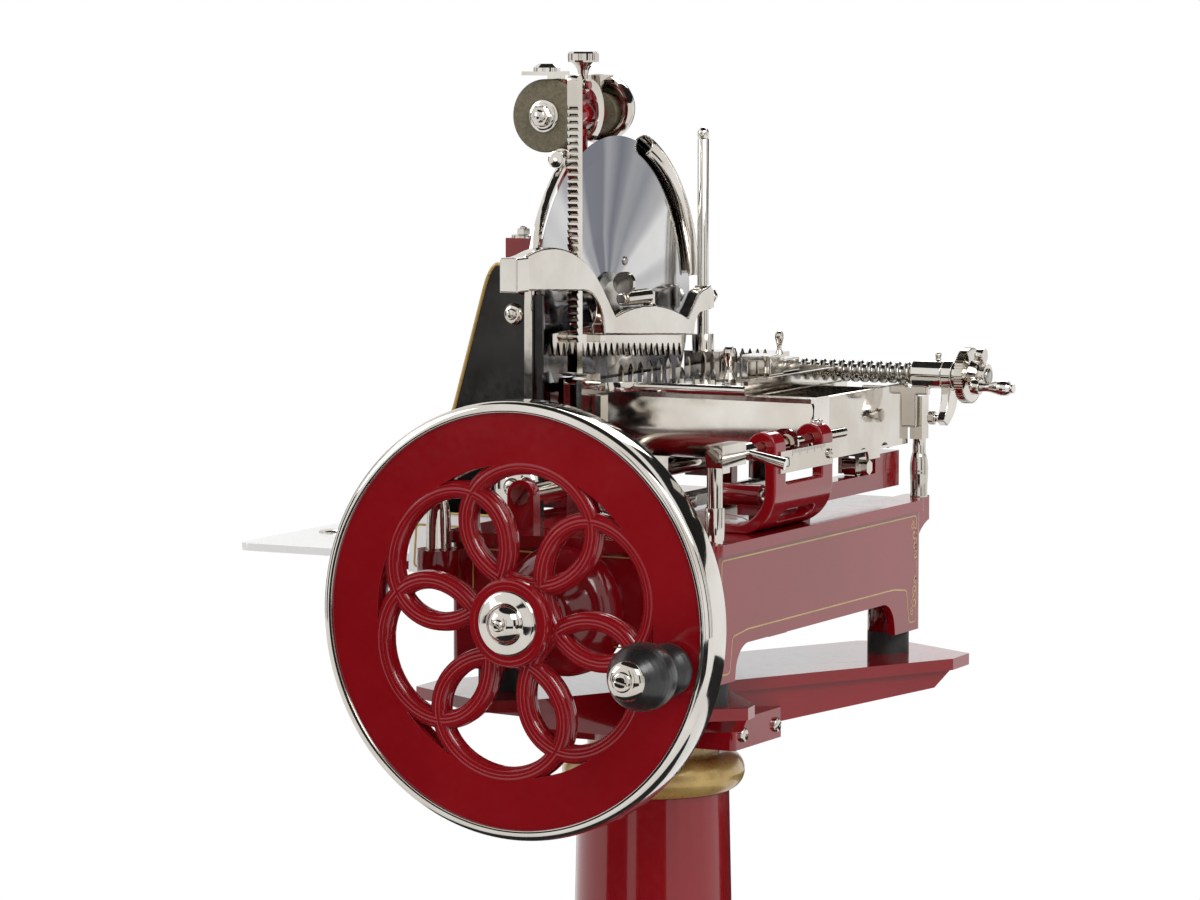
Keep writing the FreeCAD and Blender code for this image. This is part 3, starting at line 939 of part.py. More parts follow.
# the bent yoke: (distance along Y, height over that level)
yoke_line = [(-150, 29.5), (-150, 59), (-122, 64), (-80, 69, "arc"), (-38, 64),
             (7, 46, "arc"), (45, 14), (66, -9), (147, -2.5, "arc"), (232, -21.5),
             (259, 4), (RPOST_Y - 12, 8, "arc"), (RPOST_Y + 11, 5), (RPOST_Y + 11, -14),
             (RPOST_Y - 22, -17), (251, -26, "arc"), (248, -40.5), (42, -27.5), (40, -16),
             (27, 7, "arc"), (-4, 21), (-138, 28.5)]
yoke_pts = [(p[0], CLAMP_Z + p[1]) + tuple(p[2:]) for p in yoke_line]
yoke = outline_yz(YX0, yoke_pts).extrude(V(YOKE_T, 0, 0))
yoke = yoke.fuse(box(YX0 - 2, YX1 + 3, -152, -126, CLAMP_Z + 27, CLAMP_Z + 62))
yoke = yoke.fuse(cz(9, CLAMP_Z - 15, CLAMP_Z + 11, POST_X, RPOST_Y))
post_bore = cz(RPOST_R + RUN, CLAMP_Z - 57, CLAMP_Z + 43, POST_X, RPOST_Y)
yoke = yoke.cut(post_bore)
c = h + 0.3
yoke = yoke.cut(box(POST_X - c, POST_X + c, RACK_Y - c, RACK_Y + c, CLAMP_Z - 57, CLAMP_Z + 103))
yoke = yoke.fuse(cy(4, RPOST_Y + 9, RPOST_Y + 20, POST_X, CLAMP_Z - 2)).fuse(
    hex_nut((POST_X, RPOST_Y + 13, CLAMP_Z - 2), (0, 1, 0), 15, 8))
yoke = yoke.cut(post_bore)
# spindle of the latch in a lug on the yoke's back
LT_X, LT_Z = YX0 + YOKE_T / 2, CLAMP_Z + 7.0
LT_Y0, LT_Y1, LT_R = CAR_Y0 + 38.0, CAR_Y0 + 92.0, 8.0
yoke = yoke.fuse(box(LT_X - 6, LT_X + 6, LT_Y1 + GAP, LT_Y1 + 8, CLAMP_Z - 10, LT_Z + 6)).fuse(
    cy(4, LT_Y0 - 2, LT_Y1 + 4, LT_X, LT_Z)).fuse(cy(6, LT_Y0 - 5, LT_Y0 - GAP, LT_X, LT_Z))
node("clamp_yoke", yoke.removeSplitter())
CB0, CB1 = YX0 - COMB_T, YX0
COMB_Y0 = RACK_Y - 36.0
COMB_Z = CLAMP_Z - 44.0           # tips of the comb at its front end
n_t = int(301 / COMB_PITCH)


def comb_tip(y):
    """Height of the tips, which fall a little towards the rear."""
    return COMB_Z - (y - COMB_Y0) * 0.066


comb_pts = []
for i in range(n_t):
    y = COMB_Y0 + i * COMB_PITCH
    z = comb_tip(y)
    comb_pts += [(y, z + COMB_TOOTH), (y + 3.6, z + 1.4), (y + 5, z), (y + 6.4, z + 1.4),
                 (y + 10, z + COMB_TOOTH)]
COMB_Y1 = COMB_Y0 + n_t * COMB_PITCH
comb_pts += [(COMB_Y1, comb_tip(COMB_Y1) + COMB_TOOTH), (COMB_Y1, comb_tip(COMB_Y1) + COMB_TOOTH + 18),
             (60, COMB_Z + COMB_TOOTH + 14), (COMB_Y0, COMB_Z + COMB_TOOTH + 10)]
comb = outline_yz(CB0, comb_pts).extrude(V(CB1 - CB0, 0, 0))
rib = box(CB1, POST_X + 2, 44, 56, CLAMP_Z - 35, CLAMP_Z - 23)
node("clamp_comb", comb.fuse(rib.cut(yoke)).removeSplitter())
# spring latch that holds the yoke on the rack
latch = union([cy(LT_R, LT_Y0, LT_Y1, LT_X, LT_Z), cy(12, LT_Y0, LT_Y0 + 6, LT_X, LT_Z + 16),
               box(LT_X - 5, LT_X + 5, LT_Y0, LT_Y0 + 9, LT_Z, LT_Z + 14)])
node("clamp_latch", latch.cut(cy(4 + RUN, LT_Y0 - 1, LT_Y1 + 1, LT_X, LT_Z)).removeSplitter())

# ================================================================ posts on the base
FPX, FPY = BASE_X1 - 6.0, BASE_Y0 + 11.0
front_post = cz(9.5, DECK_Z, DECK_Z + 36, FPX, FPY).fuse(cz(7.5, DECK_Z + 36, ADJ_Z - 9, FPX, FPY))
TPX, TPY = BASE_X1 - 12.0, BASE_Y1 + 19
trip = smooth_turned([(9.5, 0), (9.5, 20), (9.4, 38), (8.2, 44), (7, 48)], (TPX, TPY, DECK_Z), (0, 0, 1))
trip = trip.fuse(cz(7, DECK_Z + 48, DECK_Z + 64, TPX, TPY)).fuse(
    box(TPX - 7, TPX + 7, TPY - 8.5, TPY + 8.5, DECK_Z + 62, SCREW_Z - 24))
trip = trip.removeSplitter()
lp = smooth_turned([(13, 0), (12.4, 22), (10, 46), (6.6, 58), (6, 64)], (LLUG_X, LLUG_Y, DECK_Z - 17),
                   (0, 0, 1))

# ================================================================ thickness adjuster
AR = ADJ_R
HB0 = HOOK_Y0
HB1 = HOOK_Y0 + 2 * HOOK_W + HOOK_GAP
PL1 = ADJ_X + HOOK_R
PL0 = PL1 - HOOK_T
BEND_Z = DECK_Z + 44              # where the upright starts to bend in over the deck
FOOT_IN = TRACK_X + TRACK_W / 2 + 1.5


def bent_plate(x_in, y0, y1):
    """The bracket's bent section from its foot on the deck up to the rod's height."""
    return outline_xz(y0, [(x_in, DECK_Z), (PL1 - 33, DECK_Z), (PL1 - 7, DECK_Z + 19, "arc"), (PL1, BEND_Z),
                           (PL1, ADJ_Z), (PL0, ADJ_Z), (PL0, BEND_Z), (PL0 - 7, DECK_Z + 24, "arc"),
                           (PL0 - 28, DECK_Z + 9), (x_in, DECK_Z + 9)]).extrude(V(0, y1 - y0, 0))


bracket = bent_plate(FOOT_IN, HB0, HB1).fuse(bent_plate(TRACK_X - 20, HB0, TRK_Y0 - 6))
hook = cy(HOOK_R, HB0, HB1, ADJ_X, ADJ_Z).common(box(ADJ_X - 40, ADJ_X + 40, HB0, HB1, ADJ_Z - 4, ADJ_Z + 40))
bracket = bracket.fuse(hook)
gap_y0, gap_y1 = HB0 + HOOK_W, HB1 - HOOK_W
bracket = bracket.cut(box(ADJ_X - 30, PL1 + 5, gap_y0, gap_y1, DECK_Z + 50, ADJ_Z + 40))
bracket = bracket.cut(cy(AR + RUN, HB0 - 1, HB1 + 1, ADJ_X, ADJ_Z))
bracket = bracket.cut(cy(HOOK_R - 6, HB0 - 1, HB1 + 1, ADJ_X, ADJ_Z).common(
    box(ADJ_X - 30, ADJ_X + 3, HB0 - 1, HB1 + 1, ADJ_Z - 30, ADJ_Z + 1)))
# long opening through the bend
for y in (HB0 + 38, HB1 - 38):
    bracket = bracket.cut(Part.makeCylinder(8, 60, V(PL1 - 34, y, DECK_Z + 40), V(1, 0, -1)))
slot_box = Part.makeBox(60, HB1 - HB0 - 76, 16, V(0, 0, -8))
slot_box.rotate(V(0, 0, 0), V(0, 1, 0), 45)
slot_box.translate(V(PL1 - 34, HB0 + 38, DECK_Z + 40))
bracket = bracket.cut(slot_box)
node("adjuster_bracket", bracket.removeSplitter())
blk = box(ADJ_X - 9, ADJ_X + 9, FPY - 12, FPY + 40, ADJ_Z - 11, ADJ_Z + 11)
blk = blk.cut(cy(AR + RUN, FPY - 20, FPY + 50, ADJ_X, ADJ_Z))
node("nickel_posts", Part.makeCompound([front_post.fuse(blk).removeSplitter(), trip, lp]))
LVY = FPY + 40 + GAP + 10
rodb = cy(AR, FPY - 16, ADJ_Y1 - AR, ADJ_X, ADJ_Z).fuse(Part.makeSphere(AR, V(ADJ_X, ADJ_Y1 - AR, ADJ_Z)))
rodb = rodb.fuse(cy(8.5, FPY + 40 + GAP, LVY + 12, ADJ_X, ADJ_Z)).fuse(
    cy(8, FPY - 16, FPY - 12 - GAP, ADJ_X, ADJ_Z))
lv0 = V(ADJ_X + 7.5, LVY, ADJ_Z - 1.5)
lvd = V(0.95, 0.18, -0.26)
lever = Part.makeCone(3.4, 6.0, 38, lv0, lvd)
node("adjuster_rod", rodb.fuse(lever).removeSplitter())
PTY = POINTER_Y
node("pointer", turned([(AR + RUN, PTY - 6), (9, PTY - 6), (9, PTY - 1.5), (POINTER_R, PTY - 1.5),
                        (POINTER_R, PTY + 1.5), (9, PTY + 1.5), (9, PTY + 6), (AR + RUN, PTY + 6)],
                       (ADJ_X, 0, ADJ_Z), (0, 1, 0)))
node("scale_plate", box(PL1, PL1 + 2, HB0 + 9, HB1 - 4, ADJ_Z - 26, ADJ_Z - 4))

# ================================================================ receiving plate
PY0, PY1 = PLATE_Y0 + 6, PLATE_Y1
pl = box(PLATE_X0, BASE_X0 - 9, PY0, PY1, PLATE_Z, PLATE_Z + PLATE_T)
pl = pl.makeFillet(14, [e for e in pl.Edges if abs(e.Vertexes[0].Z - e.Vertexes[1].Z) > 1
                        and e.Vertexes[0].X < PLATE_X0 + 50])
node("receiving_plate", pl)
ap = outline_xz(COV_Y0, [(BASE_X0 - 125, DECK_Z - 8), (BASE_X0 - 128, DECK_Z - 64),
                         (BASE_X0 - 22, DECK_Z - 64), (BASE_X0 - 8, DECK_Z - 8)]).extrude(V(0, COV_T, 0))
ap = ap.fuse(box(BASE_X0 - 117, BASE_X0 - FLANGE, COV_Y0, COV_Y0 + COV_T, DECK_Z - 10, DECK_Z + 4).cut(cover))
node("apron", ap.removeSplitter())

# ================================================================ export
for name, shape in NODES.items():
    shape.exportStep(os.path.join("parts", name + ".step"))
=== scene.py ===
# %% [markdown]
# # A hand cranked meat slicer on its pedestal
# The machine arrives as finished solids: base, flywheel, knife, carriage, feed screw and clamp.
# This lesson dresses them. First come the finishes (enamel, nickel, ground steel, gilt, stone,
# rubber), then the pieces that are too fine for the solids: screws, threads and painted lines.

# %% Load the machine and keep its box
import bpy
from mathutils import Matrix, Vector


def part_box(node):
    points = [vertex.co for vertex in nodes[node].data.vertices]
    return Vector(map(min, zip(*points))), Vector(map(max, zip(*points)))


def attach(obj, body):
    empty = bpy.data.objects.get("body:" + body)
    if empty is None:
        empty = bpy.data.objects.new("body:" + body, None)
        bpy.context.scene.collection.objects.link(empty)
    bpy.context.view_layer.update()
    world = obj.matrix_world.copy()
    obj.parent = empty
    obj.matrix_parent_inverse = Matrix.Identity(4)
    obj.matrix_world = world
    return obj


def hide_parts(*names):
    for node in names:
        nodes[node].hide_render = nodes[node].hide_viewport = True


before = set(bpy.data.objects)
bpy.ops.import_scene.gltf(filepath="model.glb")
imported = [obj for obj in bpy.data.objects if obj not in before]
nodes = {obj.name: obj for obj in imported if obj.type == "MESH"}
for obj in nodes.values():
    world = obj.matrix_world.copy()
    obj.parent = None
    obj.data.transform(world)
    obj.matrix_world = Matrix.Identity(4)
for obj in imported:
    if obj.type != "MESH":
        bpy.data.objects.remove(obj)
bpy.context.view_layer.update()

import bpy
import math
import random
from mathutils import Matrix, Vector

MM = 0.001
FORWARD, REARWARD, RIGHT, LEFT, UP = (0, -1, 0), (0, 1, 0), (1, 0, 0), (-1, 0, 0), (0, 0, 1)

# %% [markdown]
# ## Shared effects
# Real enamel and real plating are never one even tone. Each effect below is a node group with
# named inputs, so that every finish can use it with its own values. A group gives colours, masks
# or values only; the shader itself stays in the material. The last one paints streaks of reflection
# into a colour.

# %% A helper that starts a node group
def start_group(name, inputs, outputs):
    """A shader node group with the given sockets: (name, kind, default) in, (name, kind) out."""
    group = bpy.data.node_groups.new(name, "ShaderNodeTree")
    kinds = {"value": "NodeSocketFloat", "colour": "NodeSocketColor", "vector": "NodeSocketVector"}
    for label, kind, default in inputs:
        socket = group.interface.new_socket(label, in_out="INPUT", socket_type=kinds[kind])
        if default is not None:
            socket.default_value = default
    for label, kind in outputs:
        group.interface.new_socket(label, in_out="OUTPUT", socket_type=kinds[kind])
    return group, group.nodes.new("NodeGroupInput"), group.nodes.new("NodeGroupOutput")


def add(tree, kind, **settings):
    """A node of that kind; settings go to its properties or, by socket name, to its inputs."""
    node = tree.nodes.new("ShaderNode" + kind)
    for key, value in settings.items():
        if hasattr(node, key):
            setattr(node, key, value)
        else:
            node.inputs[key.replace("_", " ")].default_value = value
    return node


def wire(tree, *pairs):
    """Links each (output, input) pair."""
    for source, target in pairs:
        tree.links.new(source, target)


# %% Cloudy drift between two tones
def make_drift_group():
    """Noise in soft clouds that mixes tone A into tone B."""
    group, gi, go = start_group(
        "cloudy drift",
        [("Tone A", "colour", (1, 1, 1, 1)), ("Tone B", "colour", (0, 0, 0, 1)),
         ("Scale", "value", 8.0)],
        [("Colour", "colour"), ("Mask", "value")])
    place = add(group, "TexCoord")
    cloud = add(group, "TexNoise", Detail=4.0, Roughness=0.55)
    spread = add(group, "MapRange", From_Min=0.35, From_Max=0.65)
    mix = add(group, "Mix", data_type="RGBA")
    wire(group, (place.outputs["Object"], cloud.inputs["Vector"]),
         (gi.outputs["Scale"], cloud.inputs["Scale"]),
         (cloud.outputs["Fac"], spread.inputs["Value"]), (spread.outputs["Result"], mix.inputs[0]),
         (gi.outputs["Tone A"], mix.inputs[6]), (gi.outputs["Tone B"], mix.inputs[7]),
         (mix.outputs[2], go.inputs["Colour"]), (spread.outputs["Result"], go.inputs["Mask"]))
    return group


DRIFT = make_drift_group()


# %% Handling marks that change the gloss
def make_gloss_group():
    """Smears and fine spots that move the roughness between smooth and dull."""
    group, gi, go = start_group(
        "handled gloss",
        [("Smooth", "value", 0.08), ("Dull", "value", 0.2), ("Scale", "value", 14.0)],
        [("Roughness", "value")])
    place = add(group, "TexCoord")
    smear = add(group, "TexNoise", Detail=6.0, Roughness=0.7, Distortion=0.6)
    fine = add(group, "TexNoise", Scale=160.0, Detail=3.0)
    both = add(group, "Math", operation="MULTIPLY")
    spread = add(group, "MapRange", From_Min=0.12, From_Max=0.42)
    wire(group, (place.outputs["Object"], smear.inputs["Vector"]),
         (place.outputs["Object"], fine.inputs["Vector"]),
         (gi.outputs["Scale"], smear.inputs["Scale"]), (smear.outputs["Fac"], both.inputs[0]),
         (fine.outputs["Fac"], both.inputs[1]), (both.outputs[0], spread.inputs["Value"]),
         (gi.outputs["Smooth"], spread.inputs["To Min"]),
         (gi.outputs["Dull"], spread.inputs["To Max"]),
         (spread.outputs["Result"], go.inputs["Roughness"]))
    return group


GLOSS = make_gloss_group()


# %% Grain in the surface
def make_grain_group():
    """A height made of broad waves and fine grain, stretched along an axis where wanted."""
    group, gi, go = start_group(
        "cast grain",
        [("Coarse", "value", 60.0), ("Fine", "value", 600.0), ("Stretch", "vector", (1, 1, 1))],
        [("Height", "value")])
    place = add(group, "TexCoord")
    pull = add(group, "VectorMath", operation="MULTIPLY")
    coarse = add(group, "TexNoise", Detail=2.0)
    fine = add(group, "TexNoise", Detail=3.0, Roughness=0.6)
    mix = add(group, "Mix", data_type="FLOAT")
    mix.inputs[0].default_value = 0.35
    wire(group, (place.outputs["Object"], pull.inputs[0]), (gi.outputs["Stretch"], pull.inputs[1]),
         (pull.outputs[0], coarse.inputs["Vector"]), (pull.outputs[0], fine.inputs["Vector"]),
         (gi.outputs["Coarse"], coarse.inputs["Scale"]), (gi.outputs["Fine"], fine.inputs["Scale"]),
         (coarse.outputs["Fac"], mix.inputs[2]), (fine.outputs["Fac"], mix.inputs[3]),
         (mix.outputs[0], go.inputs["Height"]))
    return group


GRAIN = make_grain_group()


# %% Painted fan of reflection that stands in for the highlights a turned disc mirrors
def make_painted_fan_group():
    """Painted reflection: streaks in the colour that run out from a centre on a disc facing +X,
    standing in for the light that turned steel mirrors.
    """
    group, gi, go = start_group(
        "painted fan reflection", [("Centre", "vector", (0, 0.12, 1.16)), ("Streaks", "value", 3.0)],
        # the mask paints streaks of reflected light and shade into a colour
        [("Mask", "value")])
    place = add(group, "TexCoord")
    out = add(group, "VectorMath", operation="SUBTRACT")
    unit = add(group, "VectorMath", operation="NORMALIZE")
    flat = add(group, "VectorMath", operation="MULTIPLY")
    flat.inputs[1].default_value = (0.0, 1.0, 1.0)
    broad = add(group, "TexNoise", Detail=2.0, Roughness=0.55)
    spread = add(group, "MapRange", From_Min=0.38, From_Max=0.62)
    wire(group, (place.outputs["Object"], out.inputs[0]), (gi.outputs["Centre"], out.inputs[1]),
         (out.outputs[0], flat.inputs[0]), (flat.outputs[0], unit.inputs[0]),
         (unit.outputs[0], broad.inputs["Vector"]), (gi.outputs["Streaks"], broad.inputs["Scale"]),
         (broad.outputs["Fac"], spread.inputs["Value"]),
         (spread.outputs["Result"], go.inputs["Mask"]))
    return group


FAN_REFLECTION = make_painted_fan_group()
print("shared effects:", [g.name for g in (DRIFT, GLOSS, GRAIN, FAN_REFLECTION)])


# %% [markdown]
# ## Finishes
# Each finish is a Principled shader. Metals are bright and fully metallic, and what makes them
# nickel, steel or gilt is the tint and how sharply they mirror. Enamel is a deep colour under a
# clear hard coat, so its highlights are sharp while the colour below stays soft.

# %% One builder for every finish
def finish_from(name, tone_a, tone_b, drift=8.0, smooth=0.1, dull=0.2, smear=14.0,
                metal=0.0, bump=0.0, coarse=60.0, fine=600.0, stretch=(1, 1, 1), **shader):
    """A material whose colour drifts between two tones and whose gloss varies with handling."""
    material = bpy.data.materials.new(name)
    material.use_nodes = True
    tree = material.node_tree
    principled = tree.nodes["Principled BSDF"]
    principled.inputs["Metallic"].default_value = metal
    for key, value in shader.items():
        principled.inputs[key.replace("_", " ")].default_value = value
    colour = add(tree, "Group")
    colour.node_tree = DRIFT
    colour.inputs["Tone A"].default_value = (*tone_a, 1)
    colour.inputs["Tone B"].default_value = (*tone_b, 1)
    colour.inputs["Scale"].default_value = drift
    gloss = add(tree, "Group")
    gloss.node_tree = GLOSS
    gloss.inputs["Smooth"].default_value = smooth
    gloss.inputs["Dull"].default_value = dull
    gloss.inputs["Scale"].default_value = smear
    wire(tree, (colour.outputs["Colour"], principled.inputs["Base Color"]),
         (gloss.outputs["Roughness"], principled.inputs["Roughness"]))
    if bump:
        grain = add(tree, "Group")
        grain.node_tree = GRAIN
        grain.inputs["Coarse"].default_value = coarse
        grain.inputs["Fine"].default_value = fine
        grain.inputs["Stretch"].default_value = stretch
        raised = add(tree, "Bump", Strength=bump, Distance=0.0006)
        wire(tree, (grain.outputs["Height"], raised.inputs["Height"]),
             (raised.outputs["Normal"], principled.inputs["Normal"]))
    return material


# %% The finishes of this machine
red_enamel = finish_from("red enamel", (0.195, 0.002, 0.005), (0.240, 0.004, 0.008), drift=5.0,
                         smooth=0.10, dull=0.20, bump=0.05, coarse=55.0, fine=260.0,
                         Specular_IOR_Level=0.35, Coat_Weight=0.5, Coat_Roughness=0.03, Coat_IOR=1.5)
nickel = finish_from("polished nickel", (0.57, 0.525, 0.465), (0.72, 0.69, 0.64), drift=9.0,
                     smooth=0.04, dull=0.12, metal=1.0, bump=0.006, coarse=30.0, fine=420.0)
cast_nickel = finish_from("nickel on a casting", (0.60, 0.55, 0.48), (0.78, 0.75, 0.70), drift=7.0,
                          smooth=0.13, dull=0.24, metal=1.0, bump=0.05, coarse=22.0, fine=320.0)
blade_steel = finish_from("ground blade steel", (0.62, 0.615, 0.61), (0.72, 0.715, 0.71),
                          drift=10.0, smooth=0.06, dull=0.15, metal=1.0, bump=0.03, coarse=30.0,
                          fine=900.0)
cover_steel = finish_from("browned cover steel", (0.010, 0.010, 0.009), (0.062, 0.060, 0.057),
                          drift=5.5, smooth=0.13, dull=0.26, metal=1.0, bump=0.05, coarse=300.0,
                          fine=1400.0, stretch=(1, 1, 0.05))
white_enamel = finish_from("white enamel", (0.74, 0.735, 0.72), (0.80, 0.795, 0.785), drift=6.0,
                           smooth=0.14, dull=0.28, bump=0.03, coarse=50.0, fine=300.0,
                           Coat_Weight=0.7, Coat_Roughness=0.05)
gilt = finish_from("gilt paint", (0.40, 0.255, 0.070), (0.55, 0.375, 0.125), drift=16.0,
                   smooth=0.24, dull=0.40, metal=0.35, bump=0.06,
                   Coat_Weight=0.4, Coat_Roughness=0.08)
bakelite = finish_from("black bakelite", (0.010, 0.009, 0.009), (0.018, 0.016, 0.015), drift=12.0,
                       smooth=0.26, dull=0.40, bump=0.02, Coat_Weight=0.2, Coat_Roughness=0.16)
rubber = finish_from("black rubber", (0.018, 0.018, 0.018), (0.030, 0.030, 0.030), drift=30.0,
                     smooth=0.5, dull=0.72, bump=0.25, fine=1200.0)
oilstone = finish_from("sharpening stone", (0.105, 0.088, 0.052), (0.165, 0.140, 0.088),
                       drift=260.0, smooth=0.62, dull=0.85, bump=0.6, coarse=900.0, fine=2600.0)
machined = finish_from("machined steel", (0.34, 0.32, 0.29), (0.46, 0.44, 0.40), drift=14.0,
                       smooth=0.14, dull=0.30, metal=1.0, bump=0.10, fine=900.0)


# %% The painted fan of reflection on the blade
def paint_fan_reflection(material, dark, streaks, centre):
    """Paints reflection into a disc's colour: darkens it along streaks that run out from its centre.
    """
    tree = material.node_tree
    principled = tree.nodes["Principled BSDF"]
    tone = principled.inputs["Base Color"].links[0].from_socket
    fan = add(tree, "Group")
    fan.node_tree = FAN_REFLECTION
    fan.inputs["Centre"].default_value = centre
    fan.inputs["Streaks"].default_value = streaks
    mix = add(tree, "Mix", data_type="RGBA")
    mix.inputs[6].default_value = (*dark, 1)
    wire(tree, (fan.outputs["Mask"], mix.inputs[0]), (tone, mix.inputs[7]),
         (mix.outputs[2], principled.inputs["Base Color"]))


knife_low, knife_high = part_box("knife")
knife_centre = [(a + b) / 2 for a, b in zip(knife_low, knife_high)]
# The blade's colour gets painted streaks of dark reflection that fan out from the knife's centre.
paint_fan_reflection(blade_steel, (0.14, 0.145, 0.175), 1.25, knife_centre)
print("finishes:", len(bpy.data.materials), "blade centre:", [round(v, 3) for v in knife_centre])

# %% Which finish each solid wears
WEARS = (
    (red_enamel, ("base", "pedestal_column", "pedestal_foot", "pedestal_head", "flywheel_web",
                  "knife_tower", "track", "adjuster_bracket", "sharpener_body", "crank_disc")),
    (gilt, ("pedestal_ring",)),
    (cast_nickel, ("carriage",)),
    (bakelite, ("crank_grip",)),
    (rubber, ("rubber_feet",)),
    (oilstone, ("stones",)),
    (blade_steel, ("knife",)),
    (cover_steel, ("knife_cover",)),
    (white_enamel, ("receiving_plate", "apron")),
    (machined, ("main_shaft", "connecting_rod", "knife_shaft", "feed_screw")),
)
finish_of = {node: finish for finish, members in WEARS for node in members}
for name, solid in nodes.items():
    solid.data.materials.clear()
    solid.data.materials.append(finish_of.get(name, nickel))
print("nickel solids:", sum(o.data.materials[0] == nickel for o in nodes.values()))

# %% [markdown]
# ## Small pieces
# Screws, threads, gilt lines and rounded ribs are finer than the solids carry. They are built here
# as meshes, vertex by vertex, because a line 2 mm wide or a slot in a screw head needs only a few
# faces, and placing them by formula keeps them exactly on the surface that holds them.

# %% Turning lists of points into a piece of the machine
def piece(name, verts, faces, body, material, smooth=40.0):
    """A mesh from millimetres that rides on a body; edges under `smooth` degrees shade softly."""
    mesh = bpy.data.meshes.new(name)
    mesh.from_pydata([Vector(v) * MM for v in verts], [], faces)
    mesh.validate()
    obj = bpy.data.objects.new(name, mesh)
    bpy.context.scene.collection.objects.link(obj)
    mesh.materials.append(material)
    if smooth:
        mesh.shade_smooth()
        mesh.set_sharp_from_angle(angle=math.radians(smooth))
    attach(obj, body)
    return obj


def frame_of(axis):
    """Three unit vectors: two across and one along the given axis."""
    w = Vector(axis).normalized()
    u = w.cross(Vector((0, 0, 1)) if abs(w.z) < 0.9 else Vector((0, 1, 0))).normalized()
    return u, w.cross(u), w


def join_parts(parts):
    """Several (verts, faces) lists as one."""
    verts, faces = [], []
    for part_verts, part_faces in parts:
        start = len(verts)
        verts += part_verts
        faces += [tuple(i + start for i in face) for face in part_faces]
    return verts, faces


# %% Turned shapes, slotted screws and hexagon nuts
def turned_shape(profile, place, axis, steps=32):
    """A profile of (radius, height) spun round an axis; a profile that closes makes a ring."""
    closed = profile[0] == profile[-1]
    if closed:
        profile = profile[:-1]
    u, v, w = frame_of(axis)
    verts, faces = [], []
    for radius, height in profile:
        for i in range(steps):
            a = 2 * math.pi * i / steps
            verts.append(Vector(place) + u * radius * math.cos(a) + v * radius * math.sin(a)
                         + w * height)
    for ring in range(len(profile) if closed else len(profile) - 1):
        below, above = ring * steps, (ring + 1) % len(profile) * steps
        for i in range(steps):
            j = (i + 1) % steps
            faces.append((below + i, below + j, above + j, above + i))
    return verts, faces


def slotted_head(place, axis, radius, height, turn=0.0, slot=0.16, rim=0.35):
    """A domed screw head: a height field over a disc, with the slot let into it."""
    u, v, w = frame_of(axis)
    c, s = math.cos(turn), math.sin(turn)
    u, v = u * c + v * s, v * c - u * s
    half, deep = radius * slot, height * 0.62
    columns = [k * radius for k in (-1, -0.96, -0.85, -0.68, -0.48, -0.3)] + [-half, -half * 0.98]
    columns += [-k for k in reversed(columns)]
    rows = 13
    verts, faces = [], []
    for x in columns:
        reach = math.sqrt(max(radius * radius - x * x, 0.0004))
        for j in range(rows):
            y = reach * math.sin(math.pi * (j / (rows - 1) - 0.5))
            far = min((x * x + y * y) / (radius * radius), 1.0)
            z = height * (rim + (1 - rim) * math.sqrt(1 - far * far))
            if abs(x) < half * 0.99:
                z -= deep
            verts.append(Vector(place) + u * x + v * y + w * z)
    for i in range(len(columns) - 1):
        for j in range(rows - 1):
            here, there = i * rows + j, (i + 1) * rows + j
            faces.append((here, there, there + 1, here + 1))
    side = turned_shape([(radius, 0), (radius, height * rim)], place, axis)
    return join_parts([(verts, faces), side])


def hexagon_nut(place, axis, across, height):
    """A six sided nut with chamfered corners and a round end of its bolt."""
    u, v, w = frame_of(axis)
    corner = across / math.sqrt(3)
    verts, faces = [], []
    for radius, level in ((corner, 0), (corner, height * 0.82), (corner * 0.88, height)):
        for i in range(6):
            a = math.pi * i / 3
            verts.append(Vector(place) + u * radius * math.cos(a) + v * radius * math.sin(a)
                         + w * level)
    for ring in range(2):
        for i in range(6):
            j = (i + 1) % 6
            faces.append((ring * 6 + i, ring * 6 + j, ring * 6 + 6 + j, ring * 6 + 6 + i))
    faces.append(tuple(range(12, 18)))
    end = [(across * 0.28, height), (across * 0.28, height * 1.3), (across * 0.2, height * 1.45),
           (0.01, height * 1.5)]
    bolt = turned_shape(end, place, axis, 20)
    return join_parts([(verts, faces), bolt])


# %% Painted lines as thin ribbons
def ribbon(path, normal, half_width, lift, closed=False):
    """A flat strip that follows a path lying in one plane, lifted off it by a hair."""
    n = Vector(normal).normalized()
    pts = [Vector(p) for p in path]
    verts, faces = [], []
    count = len(pts)
    for i, p in enumerate(pts):
        before = pts[i - 1] if (i or closed) else p
        after = pts[(i + 1) % count] if (i < count - 1 or closed) else p
        d1 = (p - before).normalized() if (p - before).length else (after - p).normalized()
        d2 = (after - p).normalized() if (after - p).length else d1
        side = n.cross(d1 + d2).normalized()
        grow = 1 / max(side.dot(n.cross(d1)), 0.4)
        verts += [p + side * half_width * grow + n * lift, p - side * half_width * grow + n * lift]
    for i in range(count if closed else count - 1):
        a, b = 2 * i, 2 * ((i + 1) % count)
        faces.append((a, a + 1, b + 1, b))
    return verts, faces


def rounded(corners, radius, steps=6, closed=True):
    """A path with its corners rounded off."""
    pts = [Vector(p) for p in corners]
    out = []
    for i, p in enumerate(pts):
        if not closed and i in (0, len(pts) - 1):
            out.append(p)
            continue
        a = (pts[i - 1] - p).normalized()
        b = (pts[(i + 1) % len(pts)] - p).normalized()
        start, end = p + a * radius, p + b * radius
        for k in range(steps + 1):
            t = k / steps
            out.append(start * (1 - t) ** 2 + p * 2 * t * (1 - t) + end * t * t)
    return out


